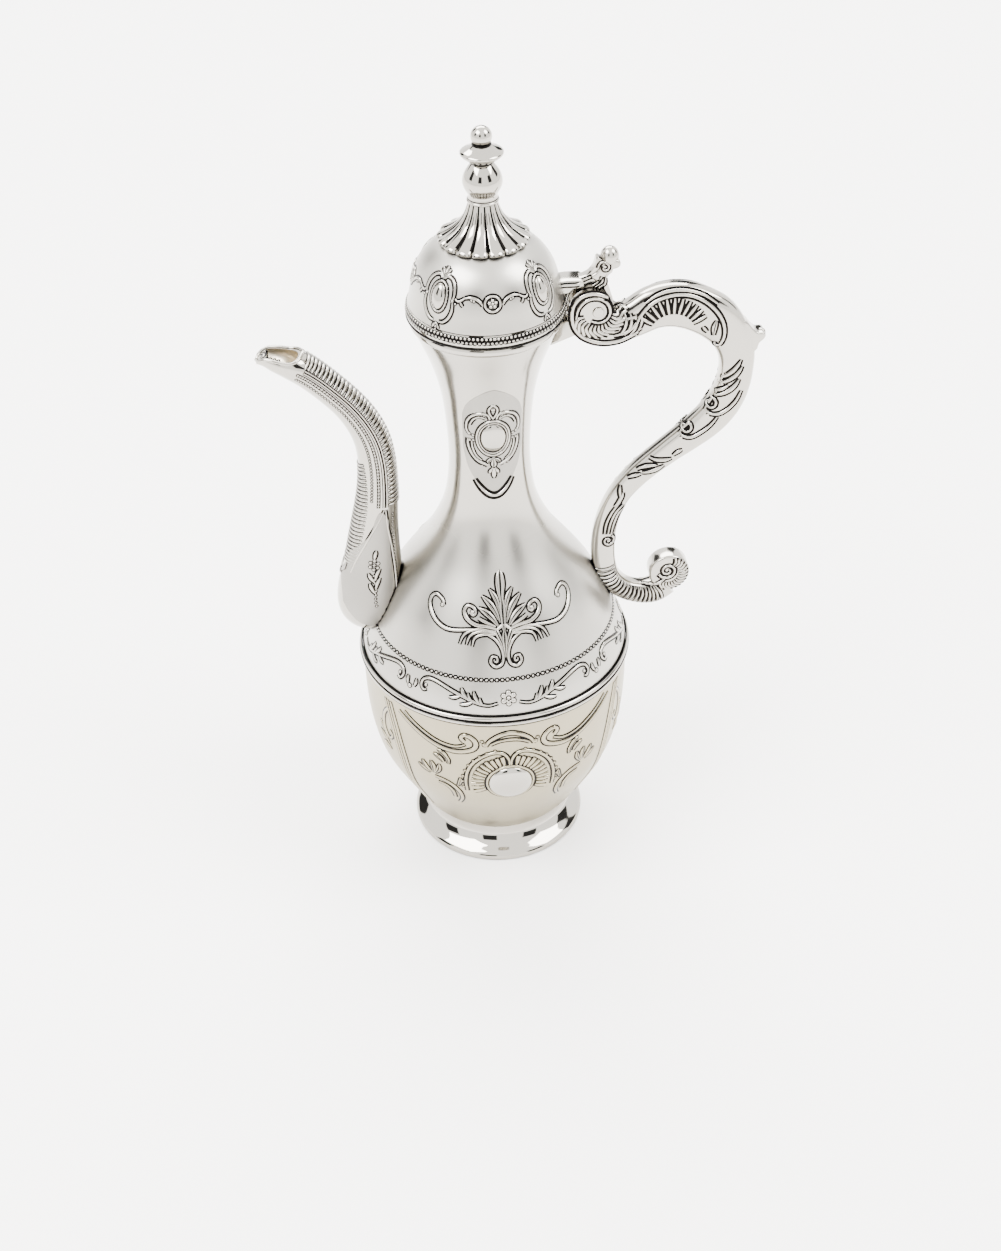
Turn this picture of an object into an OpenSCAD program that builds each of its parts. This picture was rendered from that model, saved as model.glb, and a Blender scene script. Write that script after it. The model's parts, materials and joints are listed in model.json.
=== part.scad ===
// Dallah coffee pot: a silver-plated, cast and spun metal ewer with a hinged lid.
// Frame: +Z up, the pot's axis on Z, the table at Z = 0, spout towards -X, handle towards +X.

/* [Body] */
// Radius of the belly at the waist
belly_r = 51.4; // [49:0.2:53]
// Radius of the neck where it is narrowest
neck_r = 14.9; // [14:0.1:16]
// Radius of the neck's top edge, under the lip
throat_r = 25.8; // [25.6:0.1:26]
// Thickness of the body's wall
wall = 1.4; // [1.2:0.1:1.6]
// Radius of the foot where it stands on the table
foot_r = 34.2; // [32:0.2:36]

/* [Lid] */
// Radius of the lid's rim
lid_r = 27.7; // [27.5:0.1:27.8]
// Thickness of the lid's wall
lid_wall = 1.2; // [1:0.1:1.3]
// Gap between the lid's rim and the lip under it
lid_gap = 0.3; // [0.2:0.05:0.5]

/* [Hinge] */
// Radius of the hinge pin
pin_r = 1.5; // [1.4:0.05:1.7]
// Radial clearance of the lid's lug on the pin
pin_play = 0.06; // [0.03:0.01:0.1]
// Thickness of the lid's hinge lug
lug_w = 3.8; // [3.4:0.1:4.2]
// Side clearance of the lug in its fork, on each side
lug_play = 0.3; // [0.2:0.05:0.5]

/* [Spout] */
// Thickness of the spout's wall
spout_wall = 1.3; // [1.1:0.1:1.5]
// Diameter of each strainer hole behind the spout
strain_d = 3; // [2:0.25:3.5]

/* [Finial] */
// Radius of the threaded stud that holds the finial together
stud_r = 1.5; // [1.2:0.1:1.6]

/* [Hidden] */
$fn = 96;

joint_gap = 0.05;          // solder line between two castings that meet on a curve
smooth_steps = 3;          // spline steps between two points of an outline
foot_top = 12;
seam_z = 89;               // where the bowl and the upper body meet
throat_z = 229.5;
lip_top = 232.7;
lid_z = lip_top + lid_gap;
rim_top = lid_z + 5.2;
dome_top = rim_top + 25;
stud_hole = stud_r + 0.1;
pin_x = 38.5;
pin_z = 232.1;
volute_w = 10.8;
slot_w = lug_w + 2 * lug_play;

// ---- curves -------------------------------------------------------------------------

// Catmull-Rom curve through the points p, with n steps from each point to the next.
function curve(p, n = smooth_steps) =
    [for (i = [0 : len(p) - 2], k = [0 : n - 1])
        let (t = k / n, a = p[max(i - 1, 0)], b = p[i], c = p[i + 1], d = p[min(i + 2, len(p) - 1)])
        0.5 * (2 * b + t * (c - a) + t * t * (2 * a - 5 * b + 4 * c - d)
               + t * t * t * (3 * b - a - 3 * c + d)),
     p[len(p) - 1]];

function reversed(p) = [for (i = [len(p) - 1 : -1 : 0]) p[i]];

function tangent(p, i) =
    let (d = p[min(i + 1, len(p) - 1)] - p[max(i - 1, 0)]) d / norm(d);

// The line p moved d to its left.
function moved(p, d) =
    [for (i = [0 : len(p) - 1]) let (t = tangent(p, i)) p[i] + d * [-t[1], t[0]]];

// A wall's inner line: p moved inwards by d, with its two ends level with p's own.
function inward(p, d) =
    let (q = moved(p, d), last = len(p) - 1)
    [for (i = [0 : last]) i == 0 || i == last ? p[i] - [d, 0] : q[i]];

// Points of an arc round c, from angle a0 to a1.
function arc(c, r, a0, a1, n = 8) =
    [for (i = [0 : n]) let (a = a0 + (a1 - a0) * i / n) c + r * [cos(a), sin(a)]];

// A thin spun shell: its outer line, bottom to top, given the wall's thickness.
module shell(outer, thickness) {
    rotate_extrude() polygon(concat(outer, reversed(inward(outer, thickness))));
}

// A tube or bar along a line in the XZ plane. Each station is
// [x, z, half width in the plane, half width along Y].
module sweep(stations, sides = 16) {
    s = curve(stations);
    line = [for (q = s) [q[0], q[1]]];
    n = len(s);
    ring = [for (i = [0 : n - 1], j = [0 : sides - 1])
        let (t = tangent(line, i), a = 360 * j / sides, u = s[i][2] * cos(a))
        [s[i][0] - t[1] * u, s[i][3] * sin(a), s[i][1] + t[0] * u]];
    ends = [[s[0][0], 0, s[0][1]], [s[n - 1][0], 0, s[n - 1][1]]];
    sides_of = [for (i = [0 : n - 2], j = [0 : sides - 1])
        let (a = i * sides + j, b = i * sides + (j + 1) % sides)
        each [[a, b, a + sides], [b, b + sides, a + sides]]];
    caps = [for (j = [0 : sides - 1])
        let (k = (j + 1) % sides, last = (n - 1) * sides)
        each [[k, j, n * sides], [last + j, last + k, n * sides + 1]]];
    polyhedron(concat(ring, ends), concat(sides_of, caps), convexity = 8);
}

// A flat piece: its outline in XZ, its thickness along Y.
module plate(outline, thickness) {
    rotate([90, 0, 0]) translate([0, 0, -thickness / 2])
        linear_extrude(thickness) polygon(outline);
}

// A cylinder along Y through the point x, z.
module across(x, z, r, length) {
    translate([x, 0, z]) rotate([90, 0, 0]) cylinder(r = r, h = length, center = true);
}

// ---- outlines, as [radius, height], bottom to top ----------------------------------------

function belly(k) = neck_r + (belly_r - neck_r) * k;      // 1 at the waist, 0 at the neck
function throat(k) = neck_r + (throat_r - neck_r) * k;    // 0 at the neck, 1 at the throat

foot_line = curve([[foot_r, 0], [foot_r + 0.4, 1.3], [foot_r, 2.6], [foot_r - 1.6, 3.6],
                   [30.6, 4.8], [28.8, 6.6], [27.6, 9], [27.2, foot_top]]);
bowl_line = curve([[27.2, foot_top], [30.6, 15], [34.4, 20.5], [40, 31], [belly(0.88), 45],
                   [belly(0.97), 60], [belly(0.998), 75], [belly_r, seam_z]]);
upper_line = curve([[belly_r, seam_z], [belly(0.992), 93], [belly(0.94), 99], [belly(0.86), 105.4],
                    [belly(0.762), 113], [belly(0.66), 120.5], [belly(0.48), 130],
                    [belly(0.24), 142], [belly(0.066), 156], [belly(0.006), 170],
                    [throat(0.005), 182], [throat(0.09), 195], [throat(0.22), 205],
                    [throat(0.5), 216], [throat(0.78), 223.5], [throat_r, throat_z]]);
dome_line = curve([[lid_r - 0.7, rim_top], [lid_r - 1.5, rim_top + 3.4], [lid_r - 2.1, rim_top + 6.8],
                   [lid_r - 3, rim_top + 10.4], [lid_r - 4.5, rim_top + 14], [lid_r - 6.7, rim_top + 17.2],
                   [18.2, rim_top + 20], [15, rim_top + 22], [11.8, rim_top + 23.6],
                   [8.6, rim_top + 24.7], [6.2, dome_top]]);

// Everything inside the pot's outer surface, grown by the solder line.
module body_filled() {
    grown = moved(concat(bowl_line, upper_line), -joint_gap);
    rotate_extrude() polygon(concat([[0, foot_top]], grown, [[0, throat_z]]));
}

module lid_filled() {
    rotate_extrude() polygon(concat([[0, rim_top]], moved(dome_line, -joint_gap), [[0, dome_top]]));
}

// ---- body -------------------------------------------------------------------------------

module foot() {
    color("silver") shell(foot_line, 1.9);
}

module lower_bowl() {
    inner = reversed(inward(bowl_line, wall));
    color("gainsboro") rotate_extrude()
        polygon(concat([[0, foot_top]], bowl_line,
                       [for (q = inner) if (q[1] > foot_top + wall) q], [[0, foot_top + wall]]));
}

module waist_band() {
    in_r = belly_r + 0.05;
    bead_r = 1;
    bead_x = in_r + 0.15;
    low = seam_z - 0.4;
    high = low + 2 * bead_r + 0.3;
    color("silver") rotate_extrude()
        polygon(concat([[in_r, low - bead_r]], arc([bead_x, low], bead_r, -90, 80),
                       arc([bead_x, high], bead_r, -80, 90), [[in_r, high + bead_r]]));
}

module upper_body() {
    hole_steps = [[0, 0], [0, 1], [0, -1], [1, 0.5], [1, -0.5], [-1, 0], [-1, 1], [-1, -1]];
    pitch = strain_d + 1.8;
    color("silver") difference() {
        shell(upper_line, wall);
        for (s = hole_steps)
            translate([-60, s[1] * pitch, 113 + s[0] * pitch])
                rotate([0, 90, 0]) cylinder(d = strain_d, h = 35, $fn = 32);
    }
}

module lip_ring() {
    color("silver") rotate_extrude()
        polygon([[throat_r - wall, throat_z], [throat_r + 0.1, throat_z], [throat_r + 0.9, throat_z + 0.6],
                 [throat_r + 1.1, throat_z + 1.6], [throat_r + 0.9, lip_top - 0.6],
                 [throat_r + 0.3, lip_top], [throat_r - wall, lip_top]]);
}

// ---- spout ------------------------------------------------------------------------------

spout_stations = [[-45.5, 101.6, 3, 3], [-46.4, 104, 7.4, 6.4], [-47.2, 108, 10.8, 8.6],
                  [-47.5, 113, 12.2, 9.6], [-46.8, 119, 12.4, 9.8], [-46, 125, 11.8, 9.4],
                  [-45, 132, 10.7, 8.8], [-44.2, 140, 9.7, 8.2], [-43.2, 149, 8.7, 7.6],
                  [-42, 158, 7.9, 7.1], [-41.3, 167, 7.2, 6.7], [-41.3, 176.4, 6.8, 6.5],
                  [-42.6, 185, 6.5, 6.2], [-45.6, 192.8, 6.2, 6], [-50.2, 200.2, 5.9, 5.8],
                  [-56.4, 207.4, 5.8, 5.7], [-62.6, 213.6, 5.8, 6], [-68, 217.8, 5.6, 6.8],
                  [-72.6, 220.1, 4.8, 6.6], [-77, 221.3, 3.6, 4.8], [-80.6, 220.8, 1.6, 2.4]];
// The mouth's rim, from the tip of the beak to its back, with the space above it.
mouth_rim = concat([[-84, 216.5]], curve([[-81, 219.4], [-78.6, 221.7], [-76, 222.4], [-72.2, 221.6],
                                          [-69, 220.9], [-66, 221.3], [-63.8, 222.7], [-62.4, 225]]),
                   [[-62.4, 232], [-84, 232]]);

module spout() {
    last = len(spout_stations) - 1;
    inside = [for (i = [1 : last - 1]) let (s = spout_stations[i])
        [s[0], s[1] + (i == last - 1 ? 0.8 : 0), s[2] - spout_wall, s[3] - spout_wall]];
    color("silver") difference() {
        sweep(spout_stations);
        sweep(inside);
        body_filled();
        plate(mouth_rim, 24);
    }
}

// ---- handle -----------------------------------------------------------------------------

handle_stations = [[42, 224.6, 5.4, 4.6], [47, 224.4, 6.6, 4.5], [52.6, 226.6, 7.2, 4.4],
                   [58.4, 229.5, 7.9, 4.4], [64.2, 230.5, 8.3, 4.5], [70.2, 229.7, 8.5, 4.6],
                   [76, 227.2, 8.4, 4.6], [81.6, 223.4, 8.2, 4.6], [86.6, 217, 7.2, 4.5],
                   [89.2, 210, 6.6, 4.4], [89.6, 203, 6.2, 4.3], [88.8, 197, 6.3, 4.2],
                   [86.8, 191, 6.5, 4.1], [83.6, 185.6, 6.6, 4], [79.4, 180.8, 6.4, 3.9],
                   [73, 175.4, 5.8, 3.8], [64.9, 169.2, 5.1, 3.7], [54.9, 160.6, 4.6, 3.6],
                   [47.6, 151.2, 4.2, 3.6], [43.7, 140.6, 4.3, 3.6], [42.4, 130, 4.5, 3.7],
                   [43, 120.4, 4.6, 3.8], [45.4, 113.8, 4.4, 3.8], [50.4, 108.6, 4.3, 3.8],
                   [57, 105.9, 4.6, 3.8], [62.8, 106, 5, 3.8], [67.6, 109, 4.8, 3.8]];
scroll_x = 68;
scroll_z = 115.6;
scroll_r = 7.8;
eye_r = 6;

// The fork's cheeks: a scroll round the hinge pin that runs into the handle's crest.
cheek = curve([[52, 229.4], [47.5, 229], [44.3, 231.6], [43.2, 235.2], [40.3, 238.7], [36.2, 240],
               [32.2, 239.1], [29.4, 236], [28.5, 231.8], [29.2, 227], [32, 222.6], [36.2, 219.9],
               [41, 218.8], [47, 219.1], [53, 221.6]]);

// Room between the cheeks for the lug to swing in.
module fork_slot() {
    reach = eye_r + 3;
    across(pin_x, pin_z, eye_r + 0.6, slot_w);
    translate([pin_x - eye_r - 0.6, -slot_w / 2, pin_z])
        cube([eye_r + 0.6 + reach, slot_w, 2 * reach]);
}

module handle() {
    bracket = [[18, 218.4], [23, 219.6], [33, 223.4], [33, 230.4], [29.6, 229.6], [23, 227.4], [18, 226.4]];
    color("silver") difference() {
        union() {
            sweep(handle_stations, 12);
            plate(cheek, volute_w);
            across(scroll_x, scroll_z, scroll_r, 7);
            plate(bracket, 8);
            // The spur on the handle's shoulder.
            translate([92.6, 0, 218.6]) rotate([0, 120, 0]) {
                cylinder(r1 = 3.2, r2 = 1.7, h = 5.4, $fn = 32);
                translate([0, 0, 5.4]) sphere(1.9, $fn = 32);
            }
        }
        body_filled();
        fork_slot();
        across(pin_x, pin_z, pin_r + 0.01, 2 * volute_w);
    }
}

module hinge_pin() {
    head = 0.7;
    color("silver") union() {
        across(pin_x, pin_z, pin_r, volute_w + 0.1);
        for (s = [-1, 1]) translate([pin_x, s * (volute_w / 2 + 0.05), pin_z]) rotate([-90 * s, 0, 0])
            cylinder(r1 = pin_r + 0.5, r2 = pin_r, h = head, $fn = 48);
    }
}

// ---- set bosses -------------------------------------------------------------------------

// A low domed boss, let into the wall at the point at = [radius, height] and square to the wall there.
module boss(at, turn, tilt, r, tall = 1) {
    sunk = 1;
    edge = sunk - 0.25;
    rise = 0.34 * r;
    ball = (r * r + rise * rise) / (2 * rise);
    rotate([0, 0, turn]) translate([at[0], 0, at[1]]) rotate([0, 90 - tilt, 0]) translate([0, 0, -sunk])
        scale([tall, 1, 1]) rotate_extrude()
            polygon(concat([[0, 0], [r, 0]], arc([0, rise + edge - ball], ball, acos(r / ball), 90)));
}

module neck_cabochons() {
    color("silver") for (a = [-90, 90]) difference() {
        boss([throat(0.055), 190.8], a, -5, 4.4, 1.36, $fn = 36);
        body_filled();
    }
}

module bowl_cabochons() {
    color("silver") for (a = [-90, 90]) difference() {
        boss([belly(0.96), 57.3], a, -10, 8.3);
        body_filled($fn = 288);
    }
}

module lid_cabochons() {
    color("silver") for (a = [-135, -45, 45, 135]) difference() {
        boss([lid_r - 3.3, rim_top + 10.9], a, 18, 3.1, 1.45, $fn = 36);
        lid_filled();
    }
}

// ---- lid --------------------------------------------------------------------------------

module lid_dome() {
    inner = reversed(inward(dome_line, lid_wall));
    seat_r = 4.4;
    seat_z = dome_top - lid_wall;
    color("gainsboro") rotate_extrude()
        polygon(concat(dome_line, [[stud_hole, dome_top], [stud_hole, seat_z], [seat_r, seat_z]],
                       [for (q = inner) if (q[1] < seat_z - 0.1) q]));
}

module lid_rim() {
    color("silver") rotate_extrude()
        polygon([[lid_r - 2, lid_z], [lid_r - 0.7, lid_z], [lid_r - 0.1, lid_z + 0.6], [lid_r, lid_z + 2],
                 [lid_r - 0.1, lid_z + 3.6], [lid_r - 0.7, rim_top], [lid_r - 2, rim_top]]);
}

module lid_bezel() {
    skirt_r = 22.3;
    color("silver") rotate_extrude()
        polygon([[skirt_r - 1, lid_z - 6.2], [skirt_r, lid_z - 6.2], [skirt_r, lid_z],
                 [lid_r - 2.05, lid_z], [lid_r - 2.05, lid_z + 1.2], [skirt_r - 1, lid_z + 1.2]]);
}

module lid_arm() {
    top = curve([[22, 243.2], [27, 243.9], [31.5, 243.7], [35.4, 244.9], [37.6, 247.8], [38.9, 251]]);
    under = curve([[44, 246.4], [41.9, 243.2], [43.1, 238.4], [44, 234.6]]);
    left = [[pin_x - 5.2, pin_z + 3], [33, 241.2], [28, 240.6], [22, 240.6]];
    color("silver") difference() {
        union() {
            plate(concat(top, under, left), lug_w);
            plate([[22, 238.6], [28.6, 238.6], [29.6, 240.8], [34, 241.4], [32, 243.7], [22, 243.2]], 8);
            across(pin_x, pin_z, eye_r, lug_w);
            translate([42.8, 0, 250.4]) sphere(3.5, $fn = 40);
        }
        lid_filled();
        across(pin_x, pin_z, pin_r + pin_play, 2 * lug_w);
    }
}

// ---- finial -----------------------------------------------------------------------------

module turned(outline) {
    rotate_extrude() polygon(concat(outline, [[stud_hole, outline[len(outline) - 1][1]],
                                              [stud_hole, outline[0][1]]]));
}

calyx_top = dome_top + 11.2;
baluster_top = calyx_top + 13.8;
disc_top = baluster_top + 6.1;
ball_r = 3.6;
ball_z = disc_top + 2.6;

module finial_calyx() {
    z = dome_top;
    under = [[6.2, z], [8.8, z - 0.1], [11.9, z - 1], [14, z - 1.7], [16.1, z - 2.3]];
    over = curve([[16.1, z - 1.4], [12.6, z + 0.2], [9.6, z + 2.4], [7.2, z + 5.4],
                  [5.8, z + 8.4], [5.1, calyx_top]]);
    color("silver") rotate_extrude()
        polygon(concat([[stud_hole, z]], under, over, [[stud_hole, calyx_top]]));
}

module finial_baluster() {
    z = calyx_top;
    color("silver") turned(curve([[5, z], [5.5, z + 0.8], [5, z + 1.7], [4.7, z + 2.3], [6, z + 4.2],
                                  [6.85, z + 6.8], [6.3, z + 9.6], [4.7, z + 12.2], [3.4, baluster_top]]));
}

module finial_disc() {
    z = baluster_top;
    color("silver") turned(curve([[3.4, z], [5, z + 0.8], [7, z + 2.4], [7.45, z + 3.3], [7, z + 3.9],
                                  [4.6, z + 4.9], [2.8, disc_top]]));
}

module finial_ball() {
    color("silver") difference() {
        translate([0, 0, ball_z]) sphere(ball_r);
        translate([0, 0, disc_top - 10]) cube([20, 20, 20], center = true);
        translate([0, 0, disc_top - 1]) cylinder(r = stud_hole, h = 4.2, $fn = 32);
    }
}

washer_z = dome_top - lid_wall - 0.5;
nut_h = 2.4;

module finial_stud() {
    low = washer_z - nut_h - 1.2;
    color("silver") translate([0, 0, low]) cylinder(r = stud_r, h = disc_top + 3 - low, $fn = 32);
}

module finial_nut() {
    across_corners = 6.35;
    color("silver") difference() {
        translate([0, 0, washer_z - nut_h]) cylinder(d = across_corners, h = nut_h, $fn = 6);
        translate([0, 0, washer_z - nut_h - 1]) cylinder(r = stud_r + 0.02, h = nut_h + 2, $fn = 32);
    }
}

module finial_washer() {
    color("silver") difference() {
        translate([0, 0, washer_z]) cylinder(r = 3.6, h = 0.5, $fn = 48);
        translate([0, 0, washer_z - 1]) cylinder(r = stud_hole, h = 3, $fn = 32);
    }
}

foot();
lower_bowl();
waist_band();
upper_body();
lip_ring();
spout();
handle();
hinge_pin();
neck_cabochons();
bowl_cabochons();
lid_dome();
lid_rim();
lid_bezel();
lid_arm();
lid_cabochons();
finial_calyx();
finial_baluster();
finial_disc();
finial_ball();
finial_stud();
finial_nut();
finial_washer();
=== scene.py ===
"""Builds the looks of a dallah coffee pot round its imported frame: silver plate over cast and spun metal."""

import json
import math

import bpy
from mathutils import Matrix, Vector
from mathutils.bvhtree import BVHTree


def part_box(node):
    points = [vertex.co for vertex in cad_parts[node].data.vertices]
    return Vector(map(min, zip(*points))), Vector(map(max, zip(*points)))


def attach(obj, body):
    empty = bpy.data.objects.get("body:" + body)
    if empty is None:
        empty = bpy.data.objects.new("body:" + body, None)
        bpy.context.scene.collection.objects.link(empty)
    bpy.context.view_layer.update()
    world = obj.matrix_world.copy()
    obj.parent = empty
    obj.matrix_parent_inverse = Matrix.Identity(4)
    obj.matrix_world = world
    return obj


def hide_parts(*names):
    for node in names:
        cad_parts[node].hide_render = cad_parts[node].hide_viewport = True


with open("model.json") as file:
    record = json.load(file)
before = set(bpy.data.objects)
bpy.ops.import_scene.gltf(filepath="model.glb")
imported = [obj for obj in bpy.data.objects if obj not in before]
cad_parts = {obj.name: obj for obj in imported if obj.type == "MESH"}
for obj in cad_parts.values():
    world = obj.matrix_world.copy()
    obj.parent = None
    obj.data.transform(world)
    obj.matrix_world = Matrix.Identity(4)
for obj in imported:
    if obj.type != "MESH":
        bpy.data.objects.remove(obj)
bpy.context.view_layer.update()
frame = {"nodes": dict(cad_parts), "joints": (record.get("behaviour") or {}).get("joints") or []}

bl_info = {
    "name": "Dallah Coffee Pot",
    "version": (1, 0, 0),
    "blender": (4, 5, 0),
    "location": "View3D > Sidebar > Dallah",
    "description": "Builds a silver-plated dallah with a hinged lid, piece by piece",
    "category": "Add Mesh",
}

MM = 0.001
POT, LID = "pot", "lid"
FRONT = -90.0
JOINTS = {joint["name"]: joint for joint in frame["joints"]}
PIN = Vector(JOINTS["lid_hinge"]["pos_m"]) / MM

# Heights in mm at which each band of ornament is centred.
HORSESHOE_HEIGHT, BOWL_BOSS_HEIGHT = 59.3, 57.3
ROSETTE_HEIGHT, BEAD_LINE_HEIGHT, PALMETTE_HEIGHT = 98.6, 105.3, 113.9
MEDALLION_HEIGHT, PANEL_HEIGHT = 190.8, 191.3
RIM_BEADS_HEIGHT, SWAG_HEIGHT, CARTOUCHE_HEIGHT, LID_BOSS_HEIGHT = 235.6, 248.8, 249.1, 249.3
NECK_BURNISH_START, NECK_BURNISH_END = 128, 172


# ---- sizes and colours that a user would change ------------------------------------------------


class DallahSizes(bpy.types.PropertyGroup):
    """Counts and sizes of the ornament. The pot's own sizes come from the frame."""

    petals: bpy.props.IntProperty(
        name="Petals", description="Number of petals in the fluted skirt under the finial",
        default=16, min=8, max=24)
    lid_beads: bpy.props.IntProperty(
        name="Lid beads", description="Number of beads in each row round the lid's rim",
        default=120, min=60, max=180)
    shoulder_beads: bpy.props.IntProperty(
        name="Shoulder beads", description="Number of beads in the row round the shoulder",
        default=150, min=60, max=200)
    grain: bpy.props.FloatProperty(
        name="Satin grain", description="Size of the grain that the satin finish shows",
        default=0.35 * MM, min=0.1 * MM, max=1 * MM, subtype="DISTANCE", unit="LENGTH")


def hex_colour(code):
    """An sRGB hex code as the linear colour that a shader takes."""
    parts = [int(code[i:i + 2], 16) / 255 for i in (1, 3, 5)]
    return [p / 12.92 if p <= 0.04045 else ((p + 0.055) / 1.055) ** 2.4 for p in parts]


class DallahFinishes(bpy.types.PropertyGroup):
    """Colours of the plate."""

    silver: bpy.props.FloatVectorProperty(
        name="Polished silver", description="Colour of the mirror-polished plate",
        default=hex_colour("#A29E96"), size=3, subtype="COLOR", min=0, max=1)
    satin: bpy.props.FloatVectorProperty(
        name="Satin silver", description="Colour of the satin plate on the lid and shoulder",
        default=hex_colour("#A3A099"), size=3, subtype="COLOR", min=0, max=1)
    pearl: bpy.props.FloatVectorProperty(
        name="Pearl silver", description="Colour of the warmer satin on the bowl",
        default=hex_colour("#958D78"), size=3, subtype="COLOR", min=0, max=1)
    # Painted shade: this colour is mixed into the plate where ambient occlusion finds corners and crevices.
    crevice_shade_colour: bpy.props.FloatVectorProperty(
        name="Crevice shade", description="Colour of the painted shade left in cuts and corners",
        default=hex_colour("#1E1C1A"), size=3, subtype="COLOR", min=0, max=1)


# ---- materials -----------------------------------------------------------------------------------


def add_node(tree, kind, inputs=None, **settings):
    """Adds a node, with its settings, and with a value or a link on each input that is named."""
    made = tree.nodes.new(kind)
    for name, value in settings.items():
        setattr(made, name, value)
    for name, value in (inputs or {}).items():
        if isinstance(value, bpy.types.NodeSocket):
            tree.links.new(value, made.inputs[name])
        else:
            made.inputs[name].default_value = value
    return made


def plated_metal(name, colour, roughness, grain_mm, grain_depth, crevice_shade_mm, rough_change=0.06):
    """Electroplated silver: one metal, with its surface set by how it was finished, and with painted shade
    darkening it in corners and crevices.
    """
    finishes = bpy.context.scene.dallah_finishes
    material = bpy.data.materials.new(name)
    material.use_nodes = True
    tree = material.node_tree
    tree.nodes.clear()
    place = add_node(tree, "ShaderNodeTexCoord").outputs["Object"]
    grain = add_node(tree, "ShaderNodeTexNoise", {
        "Vector": place, "Scale": 1 / (grain_mm * MM), "Detail": 4.0, "Roughness": 0.6})
    cloud = add_node(tree, "ShaderNodeTexNoise", {
        "Vector": place, "Scale": 1 / (25 * MM), "Detail": 2.0})
    uneven = add_node(tree, "ShaderNodeMapRange", {
        "Value": cloud.outputs["Fac"], "From Min": 0.3, "From Max": 0.7,
        "To Min": max(roughness - rough_change, 0.02), "To Max": roughness + rough_change})
    # Painted shade: ambient occlusion finds corners and crevices, and the plate's colour is darkened towards
    # the crevice shade colour there.
    corners = add_node(tree, "ShaderNodeAmbientOcclusion", {"Distance": crevice_shade_mm * MM}, samples=6)
    depth = add_node(tree, "ShaderNodeMapRange", {
        "Value": corners.outputs["AO"], "From Min": 0.35, "From Max": 0.8, "To Min": 1.0, "To Max": 0.0})
    shaded_tint = add_node(tree, "ShaderNodeMix", {
        "Factor": depth.outputs["Result"], "A": (*colour, 1), "B": (*finishes.crevice_shade_colour, 1)}, data_type="RGBA")
    bump = add_node(tree, "ShaderNodeBump", {
        "Height": grain.outputs["Fac"], "Strength": 1.0, "Distance": grain_depth * MM})
    shader = add_node(tree, "ShaderNodeBsdfPrincipled", {
        "Base Color": shaded_tint.outputs["Result"], "Metallic": 1.0,
        "Roughness": uneven.outputs["Result"], "Normal": bump.outputs["Normal"]})
    add_node(tree, "ShaderNodeOutputMaterial", {"Surface": shader.outputs["BSDF"]})
    return material


def polished_silver():
    """Mirror-polished plate: crisp dark and light reflections, with only faint wipe marks."""
    return plated_metal("polished_silver_plate", bpy.context.scene.dallah_finishes.silver,
                        0.05, 6, 0.002, 0.9, rough_change=0.02)


def satin_silver():
    """Fine glass-bead satin over polished plate: a soft grey glow that still shows broad reflections."""
    grain = bpy.context.scene.dallah_sizes.grain / MM
    return plated_metal("satin_silver_plate", bpy.context.scene.dallah_finishes.satin,
                        0.34, grain, 0.006, 1.2)


def pearl_silver():
    """Satin plate with a warm lacquer: the bowl looks like pale champagne."""
    grain = bpy.context.scene.dallah_sizes.grain / MM
    return plated_metal("pearl_silver_plate", bpy.context.scene.dallah_finishes.pearl,
                        0.38, grain, 0.006, 1.4)


def cast_silver():
    """Plate over a chased casting: bright on the high places, with painted shade darkening it down in the cuts.
    """
    return plated_metal("chased_cast_silver", bpy.context.scene.dallah_finishes.silver,
                        0.13, 1.5, 0.008, 1.3, rough_change=0.04)


def relief_silver():
    """Burnished high places beside near-black strips of painted shade: the chased ornament reads as light lines
    with dark edges.
    """
    return plated_metal("burnished_relief", bpy.context.scene.dallah_finishes.silver,
                        0.16, 1.0, 0.006, 1.0, rough_change=0.04)


def pearl_relief():
    """The bowl's own ornament, burnished a little brighter than its satin ground."""
    return plated_metal("burnished_pearl_relief", bpy.context.scene.dallah_finishes.pearl,
                        0.2, 1.0, 0.006, 1.0, rough_change=0.04)


def panel_silver():
    """Frosted plate of the neck's panels: the flattest grey on the pot."""
    return plated_metal("frosted_panel_plate", hex_colour("#8F8C86"), 0.5, 0.25, 0.01, 1.0)


def near_black_painted_shade():
    """Near-black painted shade and dark reflection, laid in strips beside the ornament and in rings and
    grooves.
    """
    return plated_metal("near_black_painted_shade", hex_colour("#0C0B0A"), 0.45, 0.4, 0.01, 1.0)


def lining_silver():
    """Bright plate inside the spout, where nothing has dulled it."""
    return plated_metal("spout_lining_plate", hex_colour("#E6DCC8"), 0.3, 0.4, 0.01, 0.3)


def neck_silver():
    """The body's plate: satin on the shoulder, burnished brighter and smoother up the neck."""
    finishes = bpy.context.scene.dallah_finishes
    grain = bpy.context.scene.dallah_sizes.grain / MM
    material = plated_metal("shoulder_and_neck_plate", finishes.satin, 0.34, grain, 0.006, 1.2)
    tree = material.node_tree
    shader = next(n for n in tree.nodes if n.type == "BSDF_PRINCIPLED")
    place = next(n for n in tree.nodes if n.type == "TEX_COORD").outputs["Object"]
    height = add_node(tree, "ShaderNodeSeparateXYZ", {"Vector": place}).outputs["Z"]
    share = add_node(tree, "ShaderNodeMapRange", {
        "Value": height, "From Min": NECK_BURNISH_START * MM, "From Max": NECK_BURNISH_END * MM},
        interpolation_type="SMOOTHSTEP").outputs[0]
    plate = shader.inputs["Base Color"].links[0].from_socket
    rough = shader.inputs["Roughness"].links[0].from_socket
    bright = add_node(tree, "ShaderNodeMix", {
        "Factor": share, "A": plate, "B": (*finishes.silver, 1)}, data_type="RGBA")
    fine = add_node(tree, "ShaderNodeMix", {"Factor": share, "A": rough, "B": 0.13}, data_type="FLOAT")
    tree.links.new(bright.outputs["Result"], shader.inputs["Base Color"])
    tree.links.new(fine.outputs["Result"], shader.inputs["Roughness"])
    return material


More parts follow.
